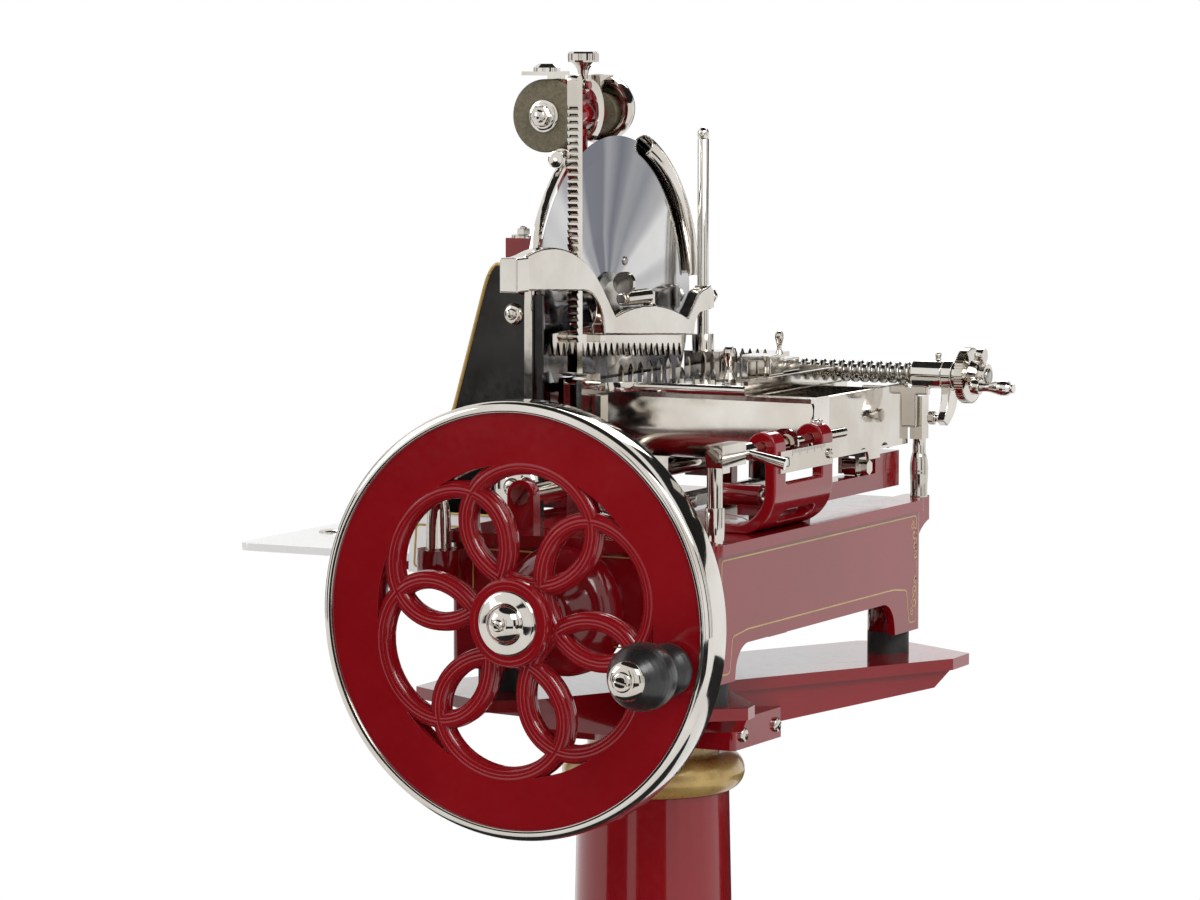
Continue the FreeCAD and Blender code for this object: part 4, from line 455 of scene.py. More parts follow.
def tube(path, radius, sides=10):
    """A round bead along a path."""
    pts = [Vector(p) for p in path]
    verts, faces = [], []
    for i, p in enumerate(pts):
        along = (pts[min(i + 1, len(pts) - 1)] - pts[max(i - 1, 0)]).normalized()
        u, v, _ = frame_of(along)
        for k in range(sides):
            a = 2 * math.pi * k / sides
            verts.append(p + u * radius * math.cos(a) + v * radius * math.sin(a))
    for i in range(len(pts) - 1):
        for k in range(sides):
            j = (k + 1) % sides
            faces.append((i * sides + k, i * sides + j, (i + 1) * sides + j, (i + 1) * sides + k))
    return verts, faces


# %% [markdown]
# ## Gilt lines on the base
# Old machines wear hand drawn gold lines a little inside every edge, with a small scroll in the
# corners. They could be painted in the material, but as ribbons 0.15 mm proud they keep their
# sharp edge from near and far.

# %% The line round each flank, following the arched sill
(base_x0, _, _), (base_x1, _, _) = [Vector(c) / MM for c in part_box("base")]
print("base with its housing:", round(base_x1 - base_x0), "mm wide")
# faces of the flanks, ends and levels of the base, in mm
FLANK_RIGHT, FLANK_LEFT = 168.0, -128.0
FRONT, REAR = -195.0, 294.0
DECK, LEGS, SILL = 948.0, 810.0, 845.0
GILT_HALF, GILT_LIFT = 0.75, 0.15  # half width of a painted line, and how proud it stands


def flank_path(x):
    """The line a little inside a flank: along the deck, round both legs and over the sill."""
    inset, leg = 14.0, 44.0
    top, low, sill = DECK - 16.5, LEGS + 9, SILL + 13.5
    y0, y1 = FRONT + inset, REAR - inset
    corners = [(x, y0, top), (x, y1, top), (x, y1, low), (x, y1 - leg + 26, low),
               (x, y1 - leg + 20, sill - 4), (x, y1 - leg - 14, sill), (x, y0 + leg + 14, sill),
               (x, y0 + leg - 20, sill - 4), (x, y0 + leg - 26, low), (x, y0, low)]
    return rounded(corners, 5.0)


def scroll(centre, size, turns, start, flip, x):
    """A flat spiral in the plane of the flank."""
    pts, steps = [], 33
    for i in range(steps + 1):
        t = i / steps
        a = start + flip * turns * 2 * math.pi * t
        r = size * (1 - 0.86 * t)
        pts.append((x, centre[0] + r * math.cos(a), centre[1] + r * math.sin(a)))
    return pts


CURLS = ((-7, 0, 7.0), (-6, -13, 5.6), (-12, 10, 4.6), (-4, -24, 4.0))  # along, up, size


def corner_scrolls(x, normal):
    """Four curls above one another in each rear corner of a flank."""
    parts = []
    for z, up in ((DECK - 36, 1), (LEGS + 30, -1)):
        for k, (dy, dz, size) in enumerate(CURLS):
            path = scroll((REAR - 12 + dy, z + dz * up), size, 1.3, math.pi * (0.5 + k),
                          up if k % 2 else -up, x)
            parts.append(ribbon(path, normal, 0.7, GILT_LIFT))
    return parts


gilt_parts = []
for x, normal in ((FLANK_RIGHT, RIGHT), (FLANK_LEFT, LEFT)):
    gilt_parts.append(ribbon(flank_path(x), normal, GILT_HALF, GILT_LIFT, closed=True))
    gilt_parts += corner_scrolls(x, normal)
left, right, top, low = FLANK_LEFT + 26, FLANK_RIGHT - 18, DECK - 17, LEGS + 32
front_line = rounded([(left, FRONT, top), (right, FRONT, top), (right, FRONT, low),
                      (left, FRONT, low)], 9.0)
gilt_parts.append(ribbon(front_line, FORWARD, GILT_HALF, GILT_LIFT, closed=True))
gilt_lines = piece("gilt_lines", *join_parts(gilt_parts), "frame", gilt, smooth=0)
print("gilt line faces:", len(gilt_lines.data.polygons))

# %% [markdown]
# ## Gold edge of the knife cover
# The dark cover plate is framed by a narrow gilt bead along its sloping edge and foot. A round
# bead catches one thin highlight all the way, as the real one does.

# %% The bead, following the plate's outline
(_, cov_y0, cov_z0), (_, _, cov_z1) = [Vector(c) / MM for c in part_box("knife_cover")]


def arc_between(a, m, b, steps=8):
    """Points on the quadratic curve from a to b that passes through m."""
    a, m, b = Vector(a), Vector(m), Vector(b)
    ctrl = m * 2 - (a + b) / 2
    ts = [k / steps for k in range(steps + 1)]
    return [a * (1 - t) ** 2 + ctrl * 2 * t * (1 - t) + b * t * t for t in ts]


bead_y, bead_top = cov_y0 - 0.2, cov_z1 - 1.6
foot_level = cov_z0 + 1.4
edge = [(-126, bead_y, bead_top), (-150, bead_y, bead_top)]
edge += arc_between((-150, bead_y, bead_top), (-158, bead_y, cov_z1 - 10),
                    (-165, bead_y, cov_z1 - 28))
edge += arc_between((-200, bead_y, 1059), (-225, bead_y, 1000), (-247.4, bead_y, cov_z0 + 3), 10)
piece("cover_gold_bead", *tube(edge, 1.9), "frame", gilt)
foot_edge = [(-245, bead_y, foot_level), (-112, bead_y, foot_level)]
piece("cover_gold_foot", *tube(foot_edge, 1.3), "frame", gilt)
(_, apron_y, _), _ = [Vector(c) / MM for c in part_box("apron")]
apron_line = rounded([(-246, apron_y, 934), (-143, apron_y, 934), (-154, apron_y, 890),
                      (-249, apron_y, 890)], 5.0)
piece("apron_gold_line", *ribbon(apron_line, FORWARD, 1.1, GILT_LIFT, closed=True),
      "frame", gilt, smooth=0)
print("bead points:", len(edge))

# %% [markdown]
# ## Rounded ribs of the flywheel
# The solid's ribs are stepped. The casting's ribs are half round, and the six ovals cross like
# woven rings. Each ring here is a half ellipse swept round an oval; the crossings need no joint,
# because cast iron flows together there in the same colour.

# %% Six woven rings
# axle height, front face of the band, then one oval: middle, half lengths and turn of the first
WHEEL = {"z": 875.0, "front": -297.0, "centre": 95.0, "radial": 59.0, "across": 70.0, "turn": 20.6}


def rib_bead(angle, width=9.4, depth=9.5, proud=0.4, around=96, across=11):
    """A half round bead along an oval that stands at that angle on the wheel."""
    c, s = math.cos(angle), math.sin(angle)
    verts, faces = [], []
    for i in range(around):
        t = 2 * math.pi * i / around
        nx, ny = WHEEL["across"] * math.cos(t), WHEEL["radial"] * math.sin(t)
        length = math.hypot(nx, ny)
        nx, ny = nx / length, ny / length
        for k in range(across):
            a = math.pi * k / (across - 1)
            off = width * math.cos(a)
            y = WHEEL["front"] + depth - proud - depth * math.sin(a)
            px = WHEEL["centre"] + WHEEL["radial"] * math.cos(t) + nx * off
            py = WHEEL["across"] * math.sin(t) + ny * off
            verts.append((px * c - py * s, y, WHEEL["z"] + px * s + py * c))
    for i in range(around):
        j = (i + 1) % around
        for k in range(across - 1):
            here, there = i * across + k, j * across + k
            faces.append((here, here + 1, there + 1, there))
    return verts, faces


rings = [rib_bead(math.radians(WHEEL["turn"] + 360 / 6 * k)) for k in range(6)]
piece("flywheel_rib_beads", *join_parts(rings), "flywheel", red_enamel, smooth=180)
hub_ring = turned_shape([(43.5, 3), (43.5, 9.5), (42, 12), (38.5, 12.6), (35, 11.6), (33.4, 9)],
                        (0, WHEEL["front"], WHEEL["z"]), FORWARD, 64)
piece("flywheel_hub_ring", *hub_ring, "flywheel", red_enamel)
print("ribs:", len(rings))

# %% [markdown]
# ## Turned pieces
# A lathe leaves smooth curves where a solid's short steps would show as bands in a mirror finish.
# The foot, the round post and the wheel's tyre are spun here from finer profiles, each in the box
# of the solid that it stands for.

# %% The pedestal's foot
(ft_x0, _, ft_z0), (ft_x1, _, ft_z1) = [Vector(c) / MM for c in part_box("pedestal_foot")]
(col_x0, _, _), (col_x1, _, _) = [Vector(c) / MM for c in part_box("pedestal_column")]
foot_r, foot_h, neck_r = (ft_x1 - ft_x0) / 2, ft_z1 - ft_z0, (col_x1 - col_x0) / 2
foot_points = [(foot_r, foot_h - 96), (foot_r - 14, foot_h - 88), (foot_r - 62, foot_h - 76),
               (foot_r - 112, foot_h - 52), (neck_r + 26, foot_h - 14), (neck_r + 12, foot_h)]


def between(a, b, c, d, t):
    """The value at t between b and c on the smooth curve through all four."""
    square, cube = 2 * a - 5 * b + 4 * c - d, 3 * b - a - 3 * c + d
    return 0.5 * (2 * b + (c - a) * t + square * t * t + cube * t ** 3)


def eased(points, steps=7):
    """A smooth curve through the points of a profile."""
    ends = [points[0]] + points + [points[-1]]
    curve = [tuple(between(*values, i / steps) for values in zip(*four))
             for four in zip(ends, ends[1:], ends[2:], ends[3:]) for i in range(steps)]
    return curve + [points[-1]]


skirt = [(0.01, 0), (foot_r - 1.5, 0), (foot_r, 1.5), (foot_r, foot_h - 98)]
skirt += [(min(r, foot_r), min(h, foot_h)) for r, h in eased(foot_points)] + [(0.01, foot_h)]
foot = piece("pedestal_foot_turned", *turned_shape(skirt, (0, 0, ft_z0), UP, 144),
             "frame", red_enamel)
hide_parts("pedestal_foot")
print("foot:", round(foot_r), "mm radius,", round(foot_h), "mm high")

# %% The round post
(rp_x0, rp_y0, rp_z0), (rp_x1, rp_y1, rp_z1) = [Vector(c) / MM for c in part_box("round_post")]
post_r, post_h = (rp_x1 - rp_x0) / 2, rp_z1 - rp_z0
groove = post_h - 2 * post_r
post_tip = [(post_r * math.cos(math.radians(a)), post_h - post_r + post_r * math.sin(math.radians(a)))
            for a in range(0, 90, 15)]
post_profile = [(0.01, 0), (post_r, 0), (post_r, groove - 1), (post_r - 0.7, groove),
                (post_r, groove + 1)] + post_tip + [(0.01, post_h)]
post_place = ((rp_x0 + rp_x1) / 2, (rp_y0 + rp_y1) / 2, rp_z0)
post = piece("round_post_turned", *turned_shape(post_profile, post_place, UP, 48),
             "table", nickel)
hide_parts("round_post")
print("round post:", round(post_h), "mm")

# %% The crowned tyre
(ty_x0, ty_y0, _), (ty_x1, ty_y1, _) = [Vector(c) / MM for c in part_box("flywheel_tyre")]
tyre_r, tyre_w = (ty_x1 - ty_x0) / 2, ty_y1 - ty_y0
# inset from the tyre's radius and depth behind its front, once round the section
crown = [(11, tyre_w), (11, 1.5), (10.4, 0.4), (9.4, 0.1), (6.2, 0.8), (3.4, 1.75), (1.5, 3.2),
         (0.4, 5.2), (0, 8), (0, tyre_w - 3.5), (0.9, tyre_w - 0.9), (3, tyre_w), (11, tyre_w)]
section = [(tyre_r - inset, depth) for inset, depth in crown]
tyre_shape = turned_shape(section, (0, ty_y0, WHEEL["z"]), REARWARD, 180)
tyre = piece("flywheel_tyre_crowned", *tyre_shape, "flywheel", nickel)
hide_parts("flywheel_tyre")
print("tyre radius:", round(tyre_r, 1))

# %% [markdown]
# ## Soft castings
# The carriage's front is one polished bulge under a thin lip, swept here from a curve of a few
# points and arcs. The bent yoke, the red bracket and four more castings were rounded by the
# polishing wheel. Each is remeshed from its own solid in small cells and then relaxed, which
# rounds every edge alike.

# %% The bulge of the carriage's front
(ca_x0, _, _), (ca_x1, _, _) = [Vector(c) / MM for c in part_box("carriage")]
LIP_Y, UNDERSIDE_Z = 58.0, 1003.0  # face of the lip and underside of the casting


def arc_points(centre, radius, start, stop, count):
    """Points on an arc between two angles in degrees."""
    angles = [math.radians(start + (stop - start) * i / (count - 1)) for i in range(count)]
    return [(centre[0] + radius * math.cos(a), centre[1] + radius * math.sin(a)) for a in angles]


bulge = [(-0.3, 63.2), (-0.9, 61.5), (-2.4, 57), (-4.5, 50.5), (-6.3, 43.5), (-7.5, 36.5)]
bulge += arc_points((16.9, 30.1), 24.85, 180, 238, 9) + arc_points((35.1, 50.5), 51.84, 238, 279, 8)
inside = [(43, 1.6), (22, 3.6), (9, 12), (-3, 27), (6.5, 49), (8, 60), (6, 63.2)]
outline = [(LIP_Y + y, UNDERSIDE_Z + z) for y, z in bulge + inside]
bays, end_bay = 12, 1.2  # how many, and the length of the short one at each end in mm
stations = [ca_x0, ca_x0 + end_bay] + [ca_x0 + (ca_x1 - ca_x0) * i / bays for i in range(1, bays)]
stations += [ca_x1 - end_bay, ca_x1]
verts = [(x, y, z) for x in stations for y, z in outline]
n, last = len(outline), len(stations) - 1
faces = [(k * n + i, (k + 1) * n + i, (k + 1) * n + (i + 1) % n, k * n + (i + 1) % n)
         for k in range(last) for i in range(n)]
faces += [tuple(range(n)), tuple(reversed(range(last * n, (last + 1) * n)))]
piece("carriage_front_bulge", verts, faces, "carriage", cast_nickel, smooth=35)
print("bulge:", round(ca_x1 - ca_x0), "mm long")


# %% Polished and rounded castings
def softened(node, name, body, cell, rounds, material):
    """A copy of a solid, remeshed in cells of that size and relaxed, which stands for the node."""
    draft = bpy.data.objects.new("draft", nodes[node].data.copy())
    bpy.context.scene.collection.objects.link(draft)
    remesh = draft.modifiers.new("cells", "REMESH")
    remesh.mode, remesh.voxel_size = "VOXEL", cell * MM
    relax = draft.modifiers.new("relax", "SMOOTH")
    relax.factor, relax.iterations = 0.5, rounds
    mesh = bpy.data.meshes.new_from_object(draft.evaluated_get(bpy.context.evaluated_depsgraph_get()))
    bpy.data.objects.remove(draft)
    obj = bpy.data.objects.new(name, mesh)
    bpy.context.scene.collection.objects.link(obj)
    mesh.materials.clear()
    mesh.materials.append(material)
    mesh.shade_smooth()
    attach(obj, body)
    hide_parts(node)
    print(name, len(mesh.polygons), "faces")


softened("clamp_yoke", "clamp_yoke_polished", "clamp", 1.0, 8, nickel)
softened("adjuster_bracket", "adjuster_bracket_cast", "frame", 0.9, 8, red_enamel)
softened("screw_housing", "screw_housing_cast", "carriage", 0.8, 6, nickel)
softened("pawl_arm", "pawl_arm_cast", "pawl", 0.6, 6, nickel)
softened("end_clamp", "end_clamp_cast", "table", 0.7, 5, nickel)
softened("rear_guard", "rear_guard_polished", "frame", 0.9, 18, nickel)

# %% [markdown]
# ## Screws and nuts
# Every visible screw is a domed head with a real slot. The slot is turned a different way on each
# one, because no fitter stops them all at the same angle. Heads that close a cap or a ferrule are
# part of that turned piece.

# %% Cap of the hub
_, (_, cap_back, _) = [Vector(c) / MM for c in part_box("hub_cap")]
cap_profile = [(0.01, 0), (32, 0), (31.7, 1.4), (30.6, 2.6), (28.8, 3.3), (21.4, 4.5), (19.9, 5.3),
               (18.9, 7.4), (16.8, 10.9), (13.4, 14.2), (9.4, 16.5), (7.2, 17.3), (0.01, 17.5)]
cap_shape = turned_shape(cap_profile, (0, cap_back, WHEEL["z"]), FORWARD, 72)
cap_screw = slotted_head((0, cap_back - 17.2, WHEEL["z"]), FORWARD, 6.2, 5.0, turn=0.9)
cap = piece("hub_cap_turned", *join_parts([cap_shape, cap_screw]), "flywheel", nickel)
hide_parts("hub_cap")
print("hub cap:", cap_profile[1][0], "mm radius,", cap_profile[-1][1], "mm deep")

# %% Spindle and ferrule of the grip
(gs_x0, gs_y0, gs_z0), (gs_x1, gs_y1, gs_z1) = [Vector(c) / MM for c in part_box("grip_spindle")]
grip_x, grip_z, ferrule_y = (gs_x0 + gs_x1) / 2, (gs_z0 + gs_z1) / 2, gs_y0 + 13.7
stem = ferrule_y - gs_y1
ferrule_profile = [(0.01, stem), (6.9, stem), (6.9, -0.1), (19.2, 0), (19.5, 0.8), (19.4, 2.6),
                   (18.6, 4.4), (16.9, 6.4), (14.4, 8.1), (11.4, 9.3), (0.01, 9.8)]
ferrule = turned_shape(ferrule_profile, (grip_x, ferrule_y, grip_z), FORWARD, 56)
grip_screw = slotted_head((grip_x, ferrule_y - 9.2, grip_z), FORWARD, 10.0, 4.3, turn=1.35)
pin = piece("grip_spindle_turned", *join_parts([ferrule, grip_screw]), "flywheel", nickel)
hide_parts("grip_spindle")
print("grip axis:", round(grip_x), round(grip_z))

# %% Domes under the screws of the cover
dome = [(27, 0), (26.5, 2.4), (23, 6.4), (17, 9.2), (10, 10.6), (9.4, 11.4), (0.01, 11.6)]
piece("cover_dome_low", *turned_shape(dome, (-127, cov_y0, 979), FORWARD, 48), "frame", nickel)
cup = [(11.5, 0), (11.2, 1.8), (9.4, 4.0), (7.6, 5.2), (0.01, 5.4)]
piece("cover_dome_high", *turned_shape(cup, (-130, cov_y0, 1156), FORWARD, 40), "frame", nickel)
print("domes:", dome[0][0], "and", cup[0][0], "mm radius")

# %% Screws on the fixed parts
random.seed(12)
(_, sc_y0, sc_z0), (sc_x1, sc_y1, sc_z1) = [Vector(c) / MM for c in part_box("scale_plate")]
_, (_, hook_y, hook_z) = [Vector(c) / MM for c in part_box("adjuster_bracket")]
(head_x0, _, _), (head_x1, _, _) = [Vector(c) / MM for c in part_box("pedestal_head")]
scale_mid = (sc_z0 + sc_z1) / 2
SCREWS = (  # name, place, the way it looks, radius, height
    ("saddle_screw_0", (120.2, -37.1, 737.5), RIGHT, 7.5, 4.5),
    ("saddle_screw_1", (120.2, 39.2, 737.5), RIGHT, 7.5, 4.5),
    ("cover_screw_low", (-127, cov_y0 - 11.4, 979), FORWARD, 8.0, 4.0),
    ("cover_screw_high", (-130, cov_y0 - 5.2, 1156), FORWARD, 6.0, 3.6),
    ("scale_screw_0", (sc_x1, sc_y0 + 12, scale_mid), RIGHT, 5.2, 3.2),
    ("scale_screw_1", (sc_x1, sc_y1 - 10, scale_mid), RIGHT, 5.2, 3.2),
    ("hook_screw", (168.5, hook_y - 9, hook_z - 0.6), UP, 6.2, 4.0),
    ("track_boss_screw", (141.0, -36, 981), RIGHT, 7.6, 4.0),
    ("deck_screw_front", (146, -150, 948.1), UP, 6.0, 4.0),
)
for name, place, axis, radius, height in SCREWS:
    head = slotted_head(place, axis, radius, height, turn=random.uniform(0, math.pi))
    piece(name, *head, "frame", nickel)
print("scale plate:", round(sc_y1 - sc_y0), "mm long, pedestal head:", round(head_x1 - head_x0),
      "mm wide, screws:", len(SCREWS))

# %% The big nut that holds the front stone
(stn_x0, stn_y0, _), (stn_x1, _, stn_z1) = [Vector(c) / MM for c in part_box("stones")]
stone = ((stn_x0 + stn_x1) / 2, stn_y0, stn_z1 - 38.0)  # middle of the front stone's face
washer = turned_shape([(16.8, 0), (16.8, 2.6), (15.6, 3.4), (12, 3.5)], stone, FORWARD, 48)
collar = turned_shape([(13.2, 3.4), (13.2, 4.6), (11.8, 5.4), (10.5, 5.5)], stone, FORWARD, 40)
nut = hexagon_nut((stone[0], stone[1] - 4.6, stone[2]), FORWARD, 20.5, 7.0)
tip = turned_shape([(6.8, 11.4), (6.8, 13.2), (5.0, 14.8), (2.4, 15.6), (0.01, 15.8)],
                   stone, FORWARD, 32)
piece("stone_nut", *join_parts([washer, collar, nut, tip]), "stones", nickel)
print("stone axis:", round(stone[0]), round(stone[2]))

# %% Marks of the scale
marks = []
for i in range(23):
    y = sc_y0 + 26 + i * 3.4
    deep = 6.5 if i % 5 == 0 else 3.6
    marks.append(ribbon([(sc_x1, y, sc_z1 - 0.5), (sc_x1, y, sc_z1 - deep)], RIGHT, 0.32, 0.06))
piece("scale_marks", *join_parts(marks), "frame", bakelite, smooth=0)
print("marks:", len(marks))

# %% Nut on the knife casting and screw of the receiving plate
_, (_, _, tower_z) = [Vector(c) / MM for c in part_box("knife_tower")]
tower_washer = turned_shape([(0.01, 3.5), (11, 3.5), (12.5, 2.6), (12.5, 0)], (-168, 30, tower_z), UP)
tower_nut = hexagon_nut((-168, 30, tower_z + 3.5), UP, 13, 6)
piece("tower_nut", *join_parts([tower_washer, tower_nut]), "frame", nickel)
low_head = [(12.5, 0), (12.5, 0.8), (10.5, 2.2), (6.0, 3.0), (0.01, 3.2)]
piece("plate_screw", *turned_shape(low_head, (-440, 90, 901.0), UP), "plate", nickel)
print("top of the knife casting:", round(tower_z), "mm")

# %% [markdown]
# ## Thread of the feed screw
# The solid is a plain bar with the thread's outer size. The real thread is a square one with
# rounded crests, 11 mm from turn to turn. It is a profile swept along a helix with a thinner core
# inside, and it replaces the plain bar.

# %% Sweeping the thread
(fs_x0, fs_y0, fs_z0), (fs_x1, fs_y1, fs_z1) = [Vector(c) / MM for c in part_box("feed_screw")]
screw_y, screw_z = (fs_y0 + fs_y1) / 2, (fs_z0 + fs_z1) / 2
CREST, CORE, LEAD = 11.9, 8.45, 11.0  # radius of the crests and of the core, and one turn
THREAD_FROM, THREAD_TO = -77.5, 153.0
TURNS = (THREAD_TO - THREAD_FROM) / LEAD


def thread_mesh(steps=30):
    """The thread's profile, in parts of a turn along the bar, swept along the helix."""
    rise = [(-0.36, CORE), (-0.27, CORE + 0.5), (-0.22, CREST - 0.9), (-0.14, CREST - 0.15)]
    profile = rise + [(0.0, CREST)] + [(-along, radius) for along, radius in reversed(rise)]
    verts, faces = [], []
    total = int(TURNS * steps)
    for i in range(total + 1):
        a = 2 * math.pi * i / steps
        for along, radius in profile:
            x = THREAD_FROM + LEAD * i / steps + along * LEAD
            x = min(max(x, THREAD_FROM), THREAD_TO)
            verts.append((x, screw_y + radius * math.cos(a), screw_z + radius * math.sin(a)))
    n = len(profile)
    for i in range(total):
        for k in range(n - 1):
            here, there = i * n + k, (i + 1) * n + k
            faces.append((here, here + 1, there + 1, there))
    return verts, faces


bar = [(0.01, fs_x0 + 0.1), (7.6, fs_x0 + 0.1), (CORE, fs_x0 + 1.2), (CORE, fs_x1 - 1.2),
       (7.6, fs_x1 - 0.1), (0.01, fs_x1 - 0.1)]
core_bar = turned_shape(bar, (0, screw_y, screw_z), RIGHT, 40)
threaded = piece("feed_screw_thread", *join_parts([thread_mesh(), core_bar]), "feed", machined,
                 smooth=60)
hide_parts("feed_screw")
print("turns of thread:", round(TURNS, 1))

# %% [markdown]
# ## Edges that catch the light
# Castings and polished bars never have knife sharp edges. A small bevel on the solids' own sharp
# edges gives each a thin line of light. The solids stay as they are: the bevel is a modifier.

# %% Fine bevels
BEVELS = {  # width in mm
    "flywheel_web": 1.8, "base": 1.2, "pedestal_head": 1.4, "knife_tower": 1.2, "track": 1.0,
    "rack_post": 0.5, "clamp_comb": 0.5, "tray": 0.7, "carriage": 0.8, "meat_table": 0.8,
    "post_sockets": 0.8, "nickel_posts": 0.8, "feed_crank": 0.7, "scale_plate": 0.4,
    "receiving_plate": 1.0, "knife_cover": 0.6, "sharpener_body": 1.0, "connecting_rod": 1.0,
    "trip_sickle": 0.6, "front_guard": 0.6}
for name, width in BEVELS.items():
    solid = nodes[name]
    weld = solid.modifiers.new("close seams", "WELD")
    weld.merge_threshold = 0.02 * MM
    bevel = solid.modifiers.new("soft edges", "BEVEL")
    bevel.width = width * MM
    bevel.segments = 2
    bevel.limit_method = "ANGLE"
    bevel.angle_limit = math.radians(38)
    bevel.harden_normals = True
print("bevelled solids:", len(BEVELS))

# %% [markdown]
# ## Studio
# A pale floor and an even white room. Nickel has no colour of its own: it only mirrors the room.
# In a room that is white all round it vanishes, so narrow dark gaps stand between the white
# walls. They are seen only in reflections, and give each round post its dark lines.

# %% Pale floor
def make_floor():
    """A matt disc whose paint fades to pure white away from the machine."""
    bpy.ops.mesh.primitive_circle_add(vertices=96, radius=9.0, fill_type="NGON",
                                      location=(0, 0, -0.0005))
    floor = bpy.context.object
    floor.name = "studio_floor"
    material = bpy.data.materials.new("pale floor")
    material.use_nodes = True
    tree = material.node_tree
    paint = tree.nodes["Principled BSDF"]
    paint.inputs["Base Color"].default_value = (0.86, 0.86, 0.86, 1)
    paint.inputs["Roughness"].default_value = 0.9
    paint.inputs["Specular IOR Level"].default_value = 0.1
    place = add(tree, "TexCoord")
    far = add(tree, "VectorMath", operation="LENGTH")
    fade = add(tree, "MapRange", interpolation_type="SMOOTHSTEP", From_Min=0.75, From_Max=2.1)
    glow = add(tree, "Emission", Strength=1.0, Color=(1, 1, 1, 1))
    path = add(tree, "LightPath")
    seen = add(tree, "Math", operation="ADD", use_clamp=True)
    both = add(tree, "Math", operation="MULTIPLY")
    blend = add(tree, "MixShader")
    wire(tree, (place.outputs["Object"], far.inputs[0]), (far.outputs["Value"], fade.inputs["Value"]),
         (path.outputs["Is Camera Ray"], seen.inputs[0]),
         (path.outputs["Is Glossy Ray"], seen.inputs[1]),
         (seen.outputs[0], both.inputs[0]), (fade.outputs["Result"], both.inputs[1]),
         (both.outputs[0], blend.inputs[0]), (paint.outputs[0], blend.inputs[1]),
         (glow.outputs[0], blend.inputs[2]),
         (blend.outputs[0], tree.nodes["Material Output"].inputs["Surface"]))
    floor.data.materials.append(material)


make_floor()


# %% Dark cloths seen only in the reflections
def make_black_cloth():
    """Dull black for every cloth."""
    material = bpy.data.materials.new("black cloth")
    material.use_nodes = True
    principled = material.node_tree.nodes["Principled BSDF"]
    principled.inputs["Base Color"].default_value = (0.012, 0.012, 0.013, 1)
    principled.inputs["Roughness"].default_value = 1.0
    return material


BLACK_CLOTH = make_black_cloth()


def put_cloth(name, verts, faces):
    """Makes the cloth; it shows in reflections alone, and neither lights nor shades the machine."""
    mesh = bpy.data.meshes.new(name)
    mesh.from_pydata(verts, [], faces)
    cloth = bpy.data.objects.new(name, mesh)
    bpy.context.scene.collection.objects.link(cloth)
    mesh.materials.append(BLACK_CLOTH)
    cloth.visible_camera = False
    cloth.visible_diffuse = False
    cloth.visible_shadow = False


def hang_cloth(name, centre_angle, half_angle, radius, low, high):
    """A curved cloth round the machine; angles from straight in front, positive to the right."""
    steps = 24
    angles = [math.radians(centre_angle - half_angle + 2 * half_angle * i / steps)
              for i in range(steps + 1)]
    verts = [(radius * math.sin(a), -radius * math.cos(a), z) for a in angles for z in (low, high)]
    put_cloth(name, verts, [(2 * i, 2 * i + 2, 2 * i + 3, 2 * i + 1) for i in range(steps)])


def spread_cloth(name, radius, level):
    """A round cloth that lies level, on the floor or overhead."""
    steps = 48
    angles = [2 * math.pi * i / steps for i in range(steps)]
    rim = [(radius * math.cos(a), radius * math.sin(a), level) for a in angles]
    put_cloth(name, rim, [tuple(range(steps))])


# Faces that look to the right mirror the room at 152 degrees, which stays white. Those that look
# forward mirror the low part at -28 degrees, which is dark so that the enamel shows its own red.
hang_cloth("low_front", -28, 17, 2.6, 0.0, 0.92)
hang_cloth("low_right", 24, 22, 2.6, 0.0, 0.52)
hang_cloth("high_rear", 165, 38, 6.0, 2.1, 4.6)
hang_cloth("low_rear", 180, 40, 1.8, 0.0, 0.42)
spread_cloth("overhead", 3.0, 4.6)
spread_cloth("underfoot", 0.9, 0.004)
GAPS = ((-66, 6), (-6, 2.5), (12, 1.5), (58, 7), (80, 2), (104, 4), (122, 2), (188, 5), (-112, 7),
        (-90, 2))  # middle and half width in degrees
for i, (angle, half) in enumerate(GAPS):
    hang_cloth(f"dark_gap_{i}", angle, half, 6.0, -1.0, 3.4)
print("dark gaps:", len(GAPS))


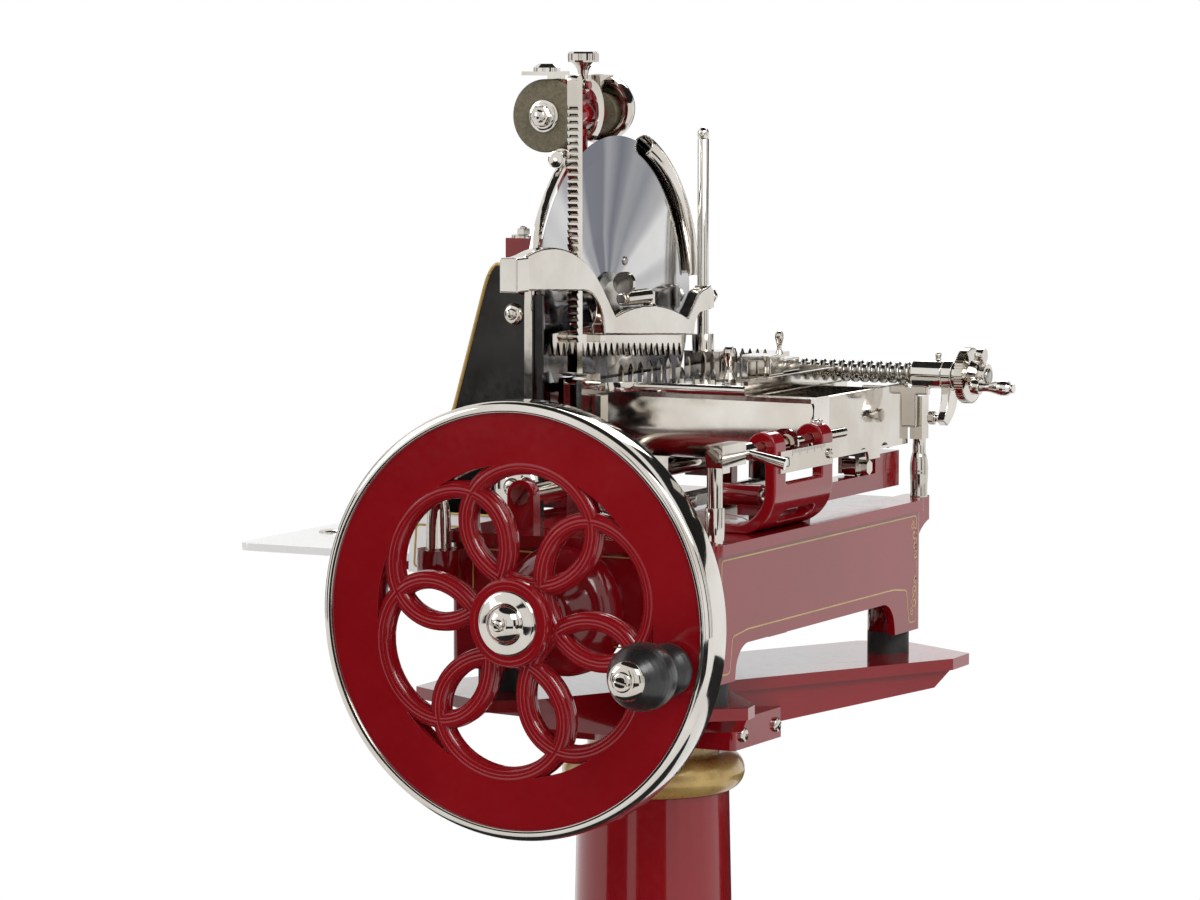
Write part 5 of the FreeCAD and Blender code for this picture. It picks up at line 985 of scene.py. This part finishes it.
# %% White room and soft lamps
def make_room():
    """A room that looks pure white but lights the machine more softly."""
    world = bpy.data.worlds.new("white room")
    bpy.context.scene.world = world
    world.use_nodes = True
    tree = world.node_tree
    dim = tree.nodes["Background"]
    dim.inputs["Color"].default_value = (1, 1, 1, 1)
    dim.inputs["Strength"].default_value = 0.62
    bright = add(tree, "Background", Strength=1.0, Color=(1, 1, 1, 1))
    path = add(tree, "LightPath")
    first = add(tree, "Math", operation="ADD", use_clamp=True)
    second = add(tree, "Math", operation="ADD", use_clamp=True)
    blend = add(tree, "MixShader")
    wire(tree, (path.outputs["Is Camera Ray"], first.inputs[0]),
         (path.outputs["Is Glossy Ray"], first.inputs[1]), (first.outputs[0], second.inputs[0]),
         (path.outputs["Is Transmission Ray"], second.inputs[1]),
         (second.outputs[0], blend.inputs[0]), (dim.outputs[0], blend.inputs[1]),
         (bright.outputs[0], blend.inputs[2]),
         (blend.outputs[0], tree.nodes["World Output"].inputs["Surface"]))


def soft_lamp(name, place, size, watts, aim=(0, 0, 1.0)):
    """A square area lamp that looks at the machine."""
    lamp = bpy.data.lights.new(name, "AREA")
    lamp.shape = "SQUARE"
    lamp.size = size
    lamp.energy = watts
    holder = bpy.data.objects.new(name, lamp)
    holder.location = place
    holder.rotation_euler = (Vector(aim) - Vector(place)).to_track_quat("-Z", "Y").to_euler()
    bpy.context.scene.collection.objects.link(holder)


make_room()
soft_lamp("key lamp", (2.4, -1.6, 3.2), 1.6, 60)
soft_lamp("fill lamp", (-2.6, -1.8, 2.2), 1.4, 22)
soft_lamp("rim lamp", (-0.8, 2.6, 2.8), 1.4, 30)
print("lamps:", len(bpy.data.lights))


# %% [markdown]
# ## Camera and close
# The long lens keeps the machine's upright lines upright.

# %% Camera
def set_camera():
    """A long lens, a little to the right of the front and a little above the machine."""
    lens = bpy.data.cameras.new("camera")
    lens.sensor_fit = "HORIZONTAL"
    lens.sensor_width = 36.0
    lens.lens = 145.0
    lens.clip_end = 60.0
    holder = bpy.data.objects.new("camera", lens)
    holder.location = (2.253, -4.367, 1.494)
    holder.rotation_euler = (math.radians(90 - 5.54), 0, math.radians(27.93))
    bpy.context.scene.collection.objects.link(holder)
    bpy.context.scene.camera = holder
    bpy.context.scene.view_settings.view_transform = "Standard"


set_camera()
print("lens:", round(bpy.context.scene.camera.data.lens), "mm")
